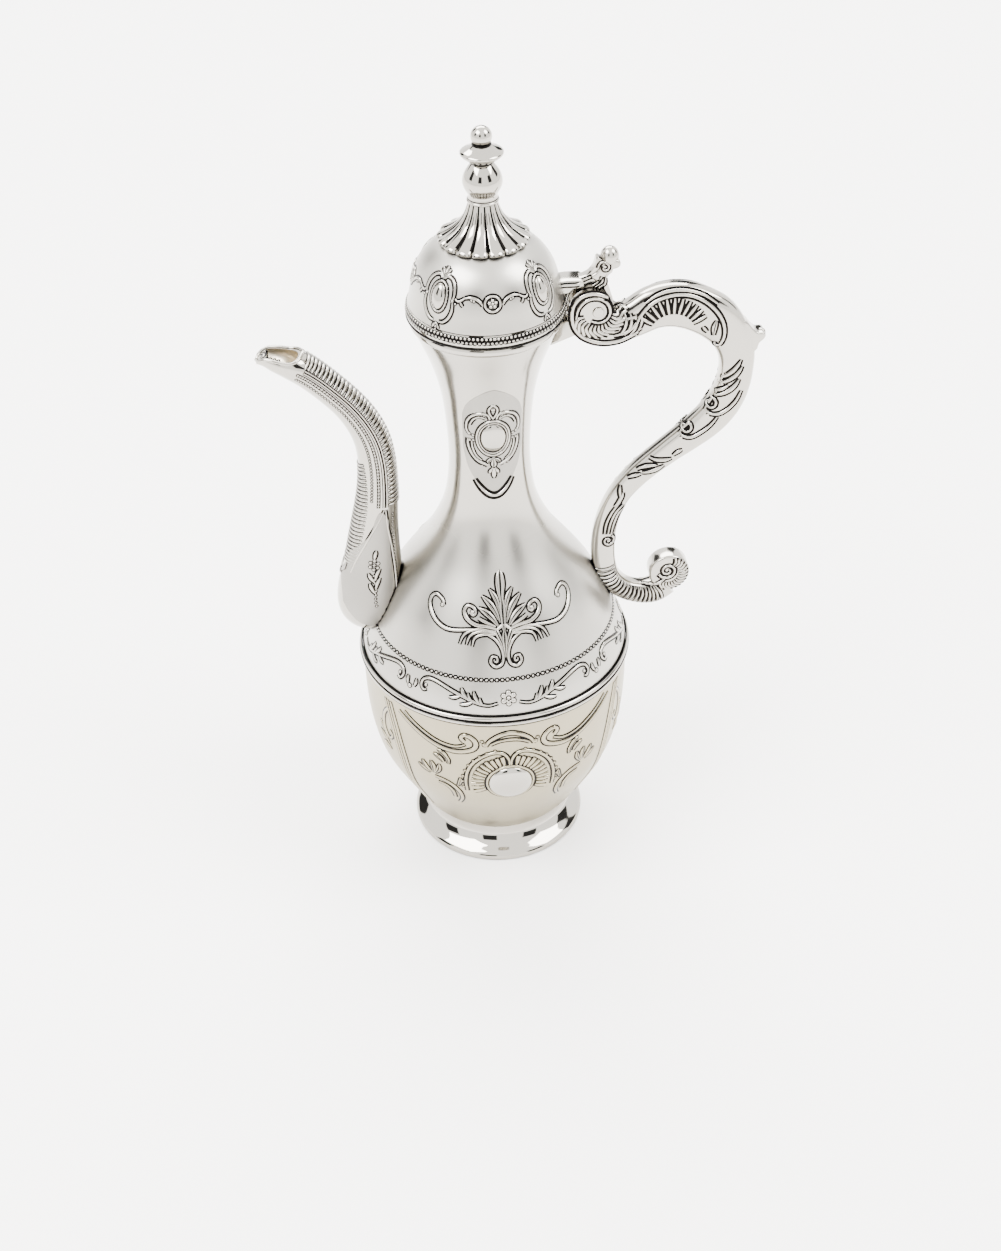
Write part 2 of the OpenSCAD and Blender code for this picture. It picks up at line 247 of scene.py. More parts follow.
def bright_steel():
    """Plain steel of the stud, nut and washer, left as the machine made it."""
    return plated_metal("bright_steel_hardware", hex_colour("#B9B8B5"), 0.3, 0.3, 0.01, 0.8)


def finish(name):
    """The material called name, made the first time that it is asked for."""
    makers = {"polished": polished_silver, "satin": satin_silver, "pearl": pearl_silver,
              "cast": cast_silver, "steel": bright_steel, "relief": relief_silver,
              "pearl_relief": pearl_relief, "panel": panel_silver, "neck": neck_silver,
              "painted_shade": near_black_painted_shade, "lining": lining_silver}
    kept = bpy.context.scene.get("dallah_made", {})
    if name not in kept:
        material = makers[name]()
        bpy.context.scene["dallah_made"] = {**dict(kept), name: material.name}
        return material
    return bpy.data.materials[kept[name]]


# ---- reading the frame -----------------------------------------------------------------------------


def tree_of(node):
    """A search tree of a CAD node's mesh, in metres."""
    mesh = frame["nodes"][node].data
    return BVHTree.FromPolygons([v.co for v in mesh.vertices], [p.vertices for p in mesh.polygons])


def outer_radius(tree, height):
    """Radius in mm of a round node's outside at a height in mm, met from the front."""
    hit = tree.ray_cast(Vector((0, -0.5, height * MM)), Vector((0, 1, 0)))[0]
    return -hit.y / MM


def inner_radius(tree, height):
    """Radius in mm of a round node's inside at a height in mm."""
    hit = tree.ray_cast(Vector((0, 0, height * MM)), Vector((0, -1, 0)))[0]
    return -hit.y / MM


def spread(low, high, step):
    """Evenly spaced heights from low to high, about step apart."""
    count = max(1, round((high - low) / step))
    return [low + (high - low) * i / count for i in range(count + 1)]


def wall_profile(node, step, edge=0.25):
    """A hollow round node's section: up its outside and down its inside, with tight corners."""
    tree = tree_of(node)
    low, high = (corner.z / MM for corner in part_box(node))
    tiny = 0.02
    heights = [low + tiny, low + edge, *spread(low + edge, high - edge, step)[1:], high - tiny]
    outside = [(outer_radius(tree, z), z) for z in heights]
    inside = [(inner_radius(tree, z), z) for z in reversed(heights)]
    return outside + inside


def skin_of(node, step=2.0):
    """A round node's outside as heights, radii and distances along it, for laying ornament on."""
    tree = tree_of(node)
    low, high = (corner.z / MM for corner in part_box(node))
    heights = spread(low + 0.05, high - 0.05, step)
    radii = [outer_radius(tree, z) for z in heights]
    along = [0.0]
    for i in range(1, len(heights)):
        along.append(along[-1] + math.hypot(heights[i] - heights[i - 1], radii[i] - radii[i - 1]))
    return {"z": heights, "r": radii, "s": along}


def between(xs, ys, x):
    """The value at x on the line through the points xs, ys, which rise in x."""
    i = 1
    while i < len(xs) - 1 and xs[i] < x:
        i += 1
    t = (x - xs[i - 1]) / (xs[i] - xs[i - 1])
    return ys[i - 1] + (ys[i] - ys[i - 1]) * t


# ---- modelling helpers -------------------------------------------------------------------------------


def deselect():
    """Goes back to object mode with nothing selected."""
    if bpy.context.mode != "OBJECT":
        bpy.ops.object.mode_set(mode="OBJECT")
    bpy.ops.object.select_all(action="DESELECT")


def pick(*objects):
    """Selects only these objects and makes the first one active."""
    deselect()
    for thing in objects:
        thing.select_set(True)
    bpy.context.view_layer.objects.active = objects[0]
    return objects[0]


def freeze(thing):
    """Puts a piece's place into its mesh, so that its object sits at the origin."""
    pick(thing)
    bpy.ops.object.transform_apply(location=True, rotation=True, scale=True)
    return thing


def apply_modifier(thing, kind, **settings):
    """Adds a modifier with its settings and applies it."""
    pick(thing)
    modifier = thing.modifiers.new(kind.title(), kind)
    for name, value in settings.items():
        setattr(modifier, name, value)
    bpy.ops.object.modifier_apply(modifier=modifier.name)
    return thing


def smooth(thing, degrees=35):
    """Shades a piece smooth, but for edges sharper than an angle."""
    pick(thing)
    bpy.ops.object.shade_smooth_by_angle(angle=math.radians(degrees))
    return thing


def join(name, *things):
    """Joins meshes into one named piece."""
    first = pick(*things)
    bpy.ops.object.join()
    first.name = first.data.name = name
    return first


def tidy_normals():
    """In edit mode: merges doubles and turns every face outwards."""
    bpy.ops.mesh.select_all(action="SELECT")
    bpy.ops.mesh.remove_doubles(threshold=0.00001)
    bpy.ops.mesh.normals_make_consistent(inside=False)


def turned(name, profile, sides=96, levels=1, ring=True):
    """A piece turned on a lathe: a circle drawn out along the profile, a list of (radius, height) in mm.

    A ring is a wall that closes on itself. A piece that isn't a ring is solid, and capped at both ends."""
    deselect()
    radius, height = profile[0]
    bpy.ops.mesh.primitive_circle_add(vertices=sides, radius=radius * MM, location=(0, 0, height * MM))
    made = bpy.context.object
    bpy.ops.object.transform_apply(location=True)
    bpy.ops.object.mode_set(mode="EDIT")
    bpy.ops.mesh.select_mode(type="VERT")
    bpy.ops.mesh.select_all(action="SELECT")
    for r, z in profile[1:]:
        bpy.ops.mesh.extrude_region_move(TRANSFORM_OT_translate={"value": (0, 0, (z - height) * MM)})
        bpy.ops.transform.resize(value=(r / radius, r / radius, 1), center_override=(0, 0, z * MM))
        radius, height = r, z
    if ring:
        bpy.ops.mesh.select_mode(type="EDGE")
        bpy.ops.mesh.select_all(action="DESELECT")
        bpy.ops.mesh.select_non_manifold()
        bpy.ops.mesh.bridge_edge_loops()
    else:
        bpy.ops.mesh.select_mode(type="EDGE")
        bpy.ops.mesh.select_all(action="DESELECT")
        bpy.ops.mesh.select_non_manifold()
        bpy.ops.mesh.edge_face_add()
        bpy.ops.mesh.poke()
    tidy_normals()
    bpy.ops.object.mode_set(mode="OBJECT")
    made.name = made.data.name = name
    if levels:
        apply_modifier(made, "SUBSURF", levels=levels, render_levels=levels)
    return smooth(made)


def curve_through(points, steps):
    """A smooth run of rows through the rows given, by Catmull and Rom's rule."""
    rows = []
    last = len(points) - 1
    for i in range(last):
        a, b, c, d = (points[max(i - 1, 0)], points[i], points[i + 1], points[min(i + 2, last)])
        for k in range(steps):
            t = k / steps
            rows.append([0.5 * (2 * q + t * (r - p) + t * t * (2 * p - 5 * q + 4 * r - s)
                                + t ** 3 * (3 * q - p - 3 * r + s))
                         for p, q, r, s in zip(a, b, c, d)])
    rows.append(list(points[last]))
    return rows


def headings(rows):
    """The direction of travel at each row of a run in the XZ plane."""
    found = []
    for i in range(len(rows)):
        a, b = rows[max(i - 1, 0)], rows[min(i + 1, len(rows) - 1)]
        found.append(Vector((b[0] - a[0], 0, b[1] - a[1])).normalized())
    return found


def drawn(name, stations, sides=32, steps=4, square=2.0):
    """A bar drawn along stations in the XZ plane, each (x, z, half depth in the plane, half width along Y).

    square is 2 for an oval section, and more for one with flatter sides."""
    rows = curve_through(stations, steps)
    ways = headings(rows)
    deselect()
    bpy.ops.mesh.primitive_circle_add(vertices=sides, radius=1, location=(0, 0, 0))
    made = bpy.context.object
    x, z, deep, wide = rows[0]
    for v in made.data.vertices:
        turn = math.atan2(v.co.y, v.co.x)
        v.co.x = math.copysign(abs(math.cos(turn)) ** (2 / square), math.cos(turn)) * deep * MM
        v.co.y = math.copysign(abs(math.sin(turn)) ** (2 / square), math.sin(turn)) * wide * MM
    bpy.ops.object.mode_set(mode="EDIT")
    bpy.ops.mesh.select_mode(type="VERT")
    bpy.ops.mesh.select_all(action="SELECT")
    lean = math.atan2(ways[0].x, ways[0].z)
    bpy.ops.transform.rotate(value=-lean, orient_axis="Y", center_override=(0, 0, 0))
    bpy.ops.transform.translate(value=(x * MM, 0, z * MM))
    for row, way in zip(rows[1:], ways[1:]):
        step = ((row[0] - x) * MM, 0, (row[1] - z) * MM)
        bpy.ops.mesh.extrude_region_move(TRANSFORM_OT_translate={"value": step})
        x, z = row[0], row[1]
        middle = (x * MM, 0, z * MM)
        angle = math.atan2(way.x, way.z)
        bpy.ops.transform.rotate(value=-(angle - lean), orient_axis="Y", center_override=middle)
        bpy.ops.transform.resize(value=(row[2] / deep, row[3] / wide, row[2] / deep), center_override=middle)
        lean, deep, wide = angle, row[2], row[3]
    bpy.ops.mesh.select_mode(type="EDGE")
    bpy.ops.mesh.select_all(action="DESELECT")
    bpy.ops.mesh.select_non_manifold()
    bpy.ops.mesh.edge_face_add()
    bpy.ops.mesh.poke()
    tidy_normals()
    bpy.ops.object.mode_set(mode="OBJECT")
    made.name = made.data.name = name
    return smooth(made)


def slab(name, outline, thickness, middle=0.0, edge=0.0):
    """A flat piece: an outline in the XZ plane, thickened along Y round middle, with its edges eased."""
    deselect()
    bpy.ops.mesh.primitive_circle_add(vertices=len(outline), radius=1, location=(0, 0, 0))
    made = bpy.context.object
    for v, (x, z) in zip(made.data.vertices, outline):
        v.co = (x * MM, (middle - thickness / 2) * MM, z * MM)
    bpy.ops.object.mode_set(mode="EDIT")
    bpy.ops.mesh.select_all(action="SELECT")
    bpy.ops.mesh.edge_face_add()
    bpy.ops.mesh.extrude_region_move(TRANSFORM_OT_translate={"value": (0, thickness * MM, 0)})
    tidy_normals()
    bpy.ops.object.mode_set(mode="OBJECT")
    made.name = made.data.name = name
    if edge:
        apply_modifier(made, "BEVEL", width=edge * MM, segments=3, limit_method="ANGLE")
    return smooth(made, 40)


def rod(name, place, radius, length, along=(0, 1, 0), sides=48, edge=0.0):
    """A round bar through place, in mm, with its edges eased."""
    deselect()
    turn = Vector(along).to_track_quat("Z", "Y").to_euler()
    bpy.ops.mesh.primitive_cylinder_add(vertices=sides, radius=radius * MM, depth=length * MM,
                                        location=Vector(place) * MM, rotation=turn)
    made = freeze(bpy.context.object)
    made.name = made.data.name = name
    if edge:
        apply_modifier(made, "BEVEL", width=edge * MM, segments=3, limit_method="ANGLE")
    return smooth(made, 40)


def pearl(name, place, radius, squash=(1, 1, 1), sides=32):
    """A ball, or an egg, at place, in mm."""
    deselect()
    bpy.ops.mesh.primitive_uv_sphere_add(segments=sides, ring_count=sides // 2, radius=radius * MM,
                                         location=Vector(place) * MM, scale=squash)
    made = freeze(bpy.context.object)
    made.name = made.data.name = name
    return smooth(made, 80)


def wire_ring(name, radius, height, thick):
    """A thin ring laid in a round cut."""
    deselect()
    bpy.ops.mesh.primitive_torus_add(major_radius=radius * MM, minor_radius=thick * MM, major_segments=128,
                                     minor_segments=8, location=(0, 0, height * MM))
    made = freeze(bpy.context.object)
    made.name = made.data.name = name
    return smooth(made, 60)


def inlay(name, place, edges, rows=24):
    """A thin plate laid on a wall. edges lists where it runs across the wall: (place across, top, bottom)."""
    columns = curve_through(edges, 3)
    deselect()
    bpy.ops.mesh.primitive_grid_add(x_subdivisions=len(columns) - 1, y_subdivisions=rows, size=1)
    made = bpy.context.object
    for i, v in enumerate(made.data.vertices):
        u, top, low = columns[i % len(columns)]
        at, out = place(u, low + (top - low) * (i // len(columns)) / rows)
        v.co = (at + out * 0.14) * MM
    apply_modifier(made, "SOLIDIFY", thickness=0.4 * MM, offset=-1)
    made.name = made.data.name = name
    pick(made)
    bpy.ops.object.mode_set(mode="EDIT")
    tidy_normals()
    bpy.ops.object.mode_set(mode="OBJECT")
    return smooth(made, 40)


def cut(piece, *cutters):
    """Cuts pieces out of piece and clears the cutters away."""
    for cutter in cutters:
        apply_modifier(piece, "BOOLEAN", object=cutter, operation="DIFFERENCE", solver="EXACT")
        bpy.data.objects.remove(cutter)
    return piece


# ---- laying ornament on a surface ----------------------------------------------------------------------


def round_wall(node, height, turn=FRONT, lift=0.0):
    """Where u mm round a turned wall and v mm up it from height lies, and which way is out."""
    skin = skin_of(node)
    start = between(skin["z"], skin["s"], height)

    def place(u, v):
        low, high = start + v - 0.5, start + v + 0.5
        rise = between(skin["s"], skin["z"], high) - between(skin["s"], skin["z"], low)
        flare = between(skin["s"], skin["r"], high) - between(skin["s"], skin["r"], low)
        radius = between(skin["s"], skin["r"], start + v)
        angle = math.radians(turn) + u / radius
        out = Vector((math.cos(angle) * rise, math.sin(angle) * rise, -flare)).normalized()
        rim = between(skin["s"], skin["z"], start + v)
        at = Vector((math.cos(angle) * radius, math.sin(angle) * radius, rim))
        return at + out * lift, out
    return place


def seen_from(piece, side):
    """Where the point (x, z) of a side view lies on a piece, and which way is out. side is -1 for the front."""
    tree = BVHTree.FromPolygons([v.co for v in piece.data.vertices],
                                [p.vertices for p in piece.data.polygons])

    def place(x, z):
        at, out = tree.ray_cast(Vector((x * MM, side * 0.1, z * MM)), Vector((0, -side, 0)))[:2]
        if at is None:
            at, out = tree.find_nearest(Vector((x * MM, side * 4 * MM, z * MM)))[:2]
        return at / MM, (out if out.y * side > 0 else -out)
    return place


def along_bar(stations, steps=8):
    """Where a drawn bar's skin lies t of the way along its stations, at an angle round it in degrees."""
    rows = curve_through(stations, steps)
    ways = headings(rows)

    def place(t, angle):
        spot = min(max(t * steps, 0.0), len(rows) - 1.001)
        i = int(spot)
        x, z, deep, wide = (p + (q - p) * (spot - i) for p, q in zip(rows[i], rows[i + 1]))
        way = ways[i].lerp(ways[i + 1], spot - i).normalized()
        across = Vector((way.z, 0, -way.x))
        turn = math.radians(angle)
        at = Vector((x, 0, z)) + across * deep * math.cos(turn) + Vector((0, wide * math.sin(turn), 0))
        out = (across * math.cos(turn) / deep + Vector((0, math.sin(turn) / wide, 0))).normalized()
        return at, out
    return place


class Relief:
    """Chased forms that stand a little out of a wall, with flat strips of near-black painted shade beside them.
    Each is closed and low, with its foot sunk in the wall.

    A ridge has to lie along a curved wall and lean with it, so its mesh is laid straight on the wall."""

    def __init__(self, place, foot=0.25, edge=0.6):
        self.place, self.foot, self.edge = place, foot, edge
        self.verts, self.faces, self.dark = [], [], []

    def add(self, face, dark=False):
        self.faces.append(face)
        self.dark.append(dark)

    def ridge(self, line, rise=0.6, steps=3, sides=5, groove=0.0, flip=1, edge=None):
        """A ridge through points (u, v, half width), between two flat strips of near-black painted shade that
        are edge wide.

        rise is its height over its half width. A groove splits it down the middle, as a leaf's vein does, and a
        deep groove's floor is painted near-black as shade."""
        edge = self.edge if edge is None else edge
        rows = curve_through([(flip * u, v, w) for u, v, w in line], steps)
        spots = [self.place(u, v) for u, v, _ in rows]
        first = len(self.verts)
        for i, ((at, out), (_, _, wide)) in enumerate(zip(spots, rows)):
            way = spots[min(i + 1, len(spots) - 1)][0] - spots[max(i - 1, 0)][0]
            side = out.cross(way).normalized()
            brink = side * (wide + edge)
            # The outer two points on each side lie flat on the wall: the strip of near-black painted shade.
            self.verts += [at + brink - out * self.foot, at + brink + out * 0.02]
            for k in range(sides + 1):
                turn = math.pi * k / sides
                dip = 1 - groove * max(0.0, 1 - abs(math.cos(turn)) / 0.45)
                tall = 0.04 + wide * rise * math.sin(turn) * dip
                self.verts.append(at + side * wide * math.cos(turn) + out * tall)
            self.verts += [at - brink + out * 0.02, at - brink - out * self.foot]
        ring = sides + 5
        for i in range(len(rows) - 1):
            for k in range(ring):
                a, b = first + i * ring + k, first + i * ring + (k + 1) % ring
                # The flat strips, the end caps and a deep groove's floor take the near-black painted shade.
                vein = groove > 0.35 and abs(k - 1.5 - sides / 2) < 0.8
                self.add((a, b, b + ring, a + ring), vein or k < 2 or k > sides + 1)
        last = first + (len(rows) - 1) * ring
        self.add(tuple(range(first, first + ring))[::-1], True)
        self.add(tuple(range(last, last + ring)), True)
        return self

    def pair(self, line, **form):
        """The same ridge on both sides of the middle line."""
        return self.ridge(line, **form).ridge(line, flip=-1, **form)

    def bead(self, u, v, radius, rise=0.8, sides=8, tall=1.0):
        """A low round or oval bead in a seat of near-black painted shade."""
        at, out = self.place(u, v)
        right = (self.place(u + 0.2, v)[0] - at).normalized()
        up = out.cross(right)
        first = len(self.verts)
        brink = 1 + 0.6 * self.edge / radius
        for low, reach in ((-self.foot, brink), (0.02, brink), (0.04, 1.0), (0.62 * rise * radius, 0.74)):
            for k in range(sides):
                turn = math.tau * k / sides
                self.verts.append(at + out * low + right * (reach * radius * math.cos(turn))
                                  + up * (reach * radius * tall * math.sin(turn)))
        self.verts.append(at + out * rise * radius)
        for row in range(3):
            for k in range(sides):
                a, b = first + row * sides + k, first + row * sides + (k + 1) % sides
                # The two lowest rows, the flat seat, take the near-black painted shade.
                self.add((a, b, b + sides, a + sides), row < 2)
        top = first + 4 * sides
        for k in range(sides):
            self.add((top - sides + k, top - sides + (k + 1) % sides, top))
        self.add(tuple(first + k for k in range(sides))[::-1])
        return self

    def piece(self, name):
        """The forms laid so far, as one object whose faces of near-black painted shade have a material index of
        1.
        """
        mesh = bpy.data.meshes.new(name)
        mesh.from_pydata([v * MM for v in self.verts], [], self.faces)
        for face, dark in zip(mesh.polygons, self.dark):
            face.material_index = int(dark)
        made = bpy.data.objects.new(name, mesh)
        bpy.context.scene.collection.objects.link(made)
        pick(made)
        bpy.ops.object.mode_set(mode="EDIT")
        bpy.ops.mesh.select_all(action="SELECT")
        bpy.ops.mesh.normals_make_consistent(inside=False)
        bpy.ops.object.mode_set(mode="OBJECT")
        return smooth(made, 60)


def ring_line(u, v, wide, tall, thick, start=0, end=360, count=24):
    """Points of an oval line round (u, v), with its half width."""
    found = []
    for i in range(count + 1):
        turn = math.radians(start + (end - start) * i / count)
        found.append((u + wide * math.cos(turn), v + tall * math.sin(turn), thick))
    return found


def curl(u, v, radius, start, turns, thick, count=14):
    """Points of a line that curls in on (u, v), starting at an angle, with turns below 0 to go clockwise."""
    found = []
    for i in range(count + 1):
        share = i / count
        turn = math.radians(start + 360 * turns * share)
        reach = radius * (1 - 0.8 * share)
        found.append((u + reach * math.cos(turn), v + reach * math.sin(turn), thick * (1 - 0.35 * share)))
    return found


def leaf(base, tip, wide, bow=0.0):
    """Points of a leaf from its base to its tip, bowed sideways by bow mm."""
    (bu, bv), (tu, tv) = base, tip
    length = math.hypot(tu - bu, tv - bv)
    nu, nv = -(tv - bv) / length, (tu - bu) / length
    found = []
    for share, girth in ((0, 0.35), (0.25, 0.75), (0.55, 1.0), (0.8, 0.75), (1, 0.12)):
        off = bow * 4 * share * (1 - share)
        found.append((bu + (tu - bu) * share + nu * off, bv + (tv - bv) * share + nv * off, wide * girth))
    return found


def seat(piece, body, material, *nodes, second="painted_shade"):
    """Gives a finished piece its metal, its body and the CAD nodes that it stands for.

    Faces with a material index of 1 get the second metal, which is the near-black painted shade unless another
    is given."""
    darkened = [face.index for face in piece.data.polygons if face.material_index]
    piece.data.materials.clear()
    piece.data.materials.append(finish(material))
    if darkened:
        piece.data.materials.append(finish(second))
        for index in darkened:
            piece.data.polygons[index].material_index = 1
    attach(piece, body)
    if nodes:
        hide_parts(*nodes)
    return piece


# ---- stage -------------------------------------------------------------------------------------------


class DALLAH_OT_stage(bpy.types.Operator):
    """Lay the pale floor, hang the soft lights and set up the camera"""

    bl_idname = "dallah.stage"
    bl_label = "Stage"

    def execute(self, context):
        deselect()
        bpy.ops.mesh.primitive_plane_add(size=12, location=(0, 0, -0.0002))
        floor = context.object
        floor.name = "stage_floor"
        paint = bpy.data.materials.new("matt_white_table")
        paint.use_nodes = True
        shader = paint.node_tree.nodes["Principled BSDF"]
        shader.inputs["Base Color"].default_value = (*hex_colour("#F4F2F0"), 1)
        shader.inputs["Roughness"].default_value = 0.9
        floor.data.materials.append(paint)
        self.light_world(context.scene)
        for name, size, place, power in (
                ("key", (1.6, 1.2), (-1.4, -0.6, 2.2), 150),
                ("fill", (1.2, 1.2), (1.6, -0.4, 2.0), 100),
                ("back", (2.4, 1.0), (0.0, 1.8, 2.2), 170)):
            lamp = bpy.data.lights.new("softbox_" + name, "AREA")
            lamp.shape = "RECTANGLE"
            lamp.size, lamp.size_y = size
            lamp.energy = power
            holder = bpy.data.objects.new("softbox_" + name, lamp)
            context.scene.collection.objects.link(holder)
            holder.location = place
            to_pot = Vector((0, 0, 0.15)) - holder.location
            holder.rotation_euler = to_pot.to_track_quat("-Z", "Y").to_euler()
        self.set_camera(context.scene)
        return {"FINISHED"}

    @staticmethod
    def light_world(scene):
        """A white room with six dark screens round it, which the polished metal mirrors as dark shapes.

        The screens stand from just above the horizon to about 35 degrees up. Their edges are a little soft."""
        screen_count, screen_turn = 6, 0.5
        screen_side = (0.4, 0.5)
        screen_foot, screen_top = (0.13, 0.16), (0.57, 0.6)
        white, dark = (1, 0.995, 0.985, 1), (0.02, 0.02, 0.02, 1)
        world = bpy.data.worlds.new("white_studio")
        scene.world = world
        world.use_nodes = True
        tree = world.node_tree
        tree.nodes.clear()
        way = add_node(tree, "ShaderNodeTexCoord").outputs["Generated"]
        parts = add_node(tree, "ShaderNodeSeparateXYZ", {"Vector": way})
        around = add_node(tree, "ShaderNodeMath", {
            0: parts.outputs["Y"], 1: parts.outputs["X"]}, operation="ARCTAN2")
        turns = add_node(tree, "ShaderNodeMath", {
            0: around.outputs[0], 1: screen_count, 2: screen_turn}, operation="MULTIPLY_ADD")
        wave = add_node(tree, "ShaderNodeMath", {0: turns.outputs[0]}, operation="SINE")
        screens = add_node(tree, "ShaderNodeMapRange", {
            "Value": wave.outputs[0], "From Min": screen_side[0], "From Max": screen_side[1]})
        low = add_node(tree, "ShaderNodeMapRange", {
            "Value": parts.outputs["Z"], "From Min": screen_top[0], "From Max": screen_top[1],
            "To Min": 1.0, "To Max": 0.0})
        raised = add_node(tree, "ShaderNodeMapRange", {
            "Value": parts.outputs["Z"], "From Min": screen_foot[0], "From Max": screen_foot[1]})
        band = add_node(tree, "ShaderNodeMath", {
            0: low.outputs[0], 1: raised.outputs[0]}, operation="MULTIPLY")
        shade = add_node(tree, "ShaderNodeMath", {
            0: screens.outputs[0], 1: band.outputs[0]}, operation="MULTIPLY")
        ramp = add_node(tree, "ShaderNodeMix", {
            "Factor": shade.outputs[0], "A": white, "B": dark}, data_type="RGBA")
        back = add_node(tree, "ShaderNodeBackground", {"Color": ramp.outputs["Result"], "Strength": 4.2})
        add_node(tree, "ShaderNodeOutputWorld", {"Surface": back.outputs["Background"]})

    @staticmethod
    def set_camera(scene):
        """Looks down at the pot from the front, a little towards the spout."""
        back, height, azimuth, pitch, roll = 586.0, 555.3, -5.5, 38.18, -1.5
        view = bpy.data.cameras.new("camera")
        view.lens = 54.94
        view.sensor_width = 36
        view.shift_x = 0.0052
        camera = bpy.data.objects.new("camera", view)
        scene.collection.objects.link(camera)
        swing = math.radians(azimuth)
        camera.location = Vector((back * math.sin(swing), -back * math.cos(swing), height)) * MM
        aim = Matrix.Rotation(swing, 3, "Z") @ Matrix.Rotation(math.radians(90 - pitch), 3, "X")
        camera.rotation_euler = (aim @ Matrix.Rotation(math.radians(roll), 3, "Z")).to_euler()
        scene.camera = camera


# ---- turned pieces -------------------------------------------------------------------------------------


class DALLAH_OT_foot(bpy.types.Operator):
    """Turn the foot's flange and stem"""

    bl_idname = "dallah.foot"
    bl_label = "Foot"

    def execute(self, context):
        seat(turned("foot_flange", wall_profile("foot", 1.2)), POT, "polished", "foot")
        return {"FINISHED"}


class DALLAH_OT_body(bpy.types.Operator):
    """Spin the bowl, the shoulder with its neck, the waist band and the lip"""

    bl_idname = "dallah.body"
    bl_label = "Body"

    def execute(self, context):
        tree = tree_of("lower_bowl")
        low, high = (corner.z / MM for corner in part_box("lower_bowl"))
        outside = [low + 0.02, low + 0.4, *spread(low + 3, high - 0.3, 5), high - 0.02]
        floor = low + 1.4
        inside = [high - 0.02, *reversed(spread(floor + 1.5, high - 0.3, 5)), floor + 0.03]
        profile = [(1.0, low), (26.5, low)] + [(outer_radius(tree, z), z) for z in outside]
        profile += [(inner_radius(tree, z), z) for z in inside] + [(24, floor), (1.0, floor)]
        seat(turned("bowl_shell", profile, ring=False), POT, "pearl", "lower_bowl")
        seat(turned("neck_and_shoulder", wall_profile("upper_body", 4.5)), POT, "neck", "upper_body")
        seat(turned("waist_band_ridges", wall_profile("waist_band", 0.4, 0.1)), POT, "polished", "waist_band")
        seat(turned("lip_bead", wall_profile("lip_ring", 0.6, 0.15)), POT, "polished", "lip_ring")
        middle = sum(corner.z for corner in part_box("waist_band")) / 2 / MM
        # Near-black rings of painted shade, laid in the grooves beside the waist band's ridges.
        cuts = [wire_ring("cut", 52.4, middle, 0.32), wire_ring("cut", 51.75, middle - 2.25, 0.3),
                wire_ring("cut", 51.65, middle + 2.25, 0.25)]
        seat(join("waist_band_shade_rings", *cuts), POT, "painted_shade")
        return {"FINISHED"}


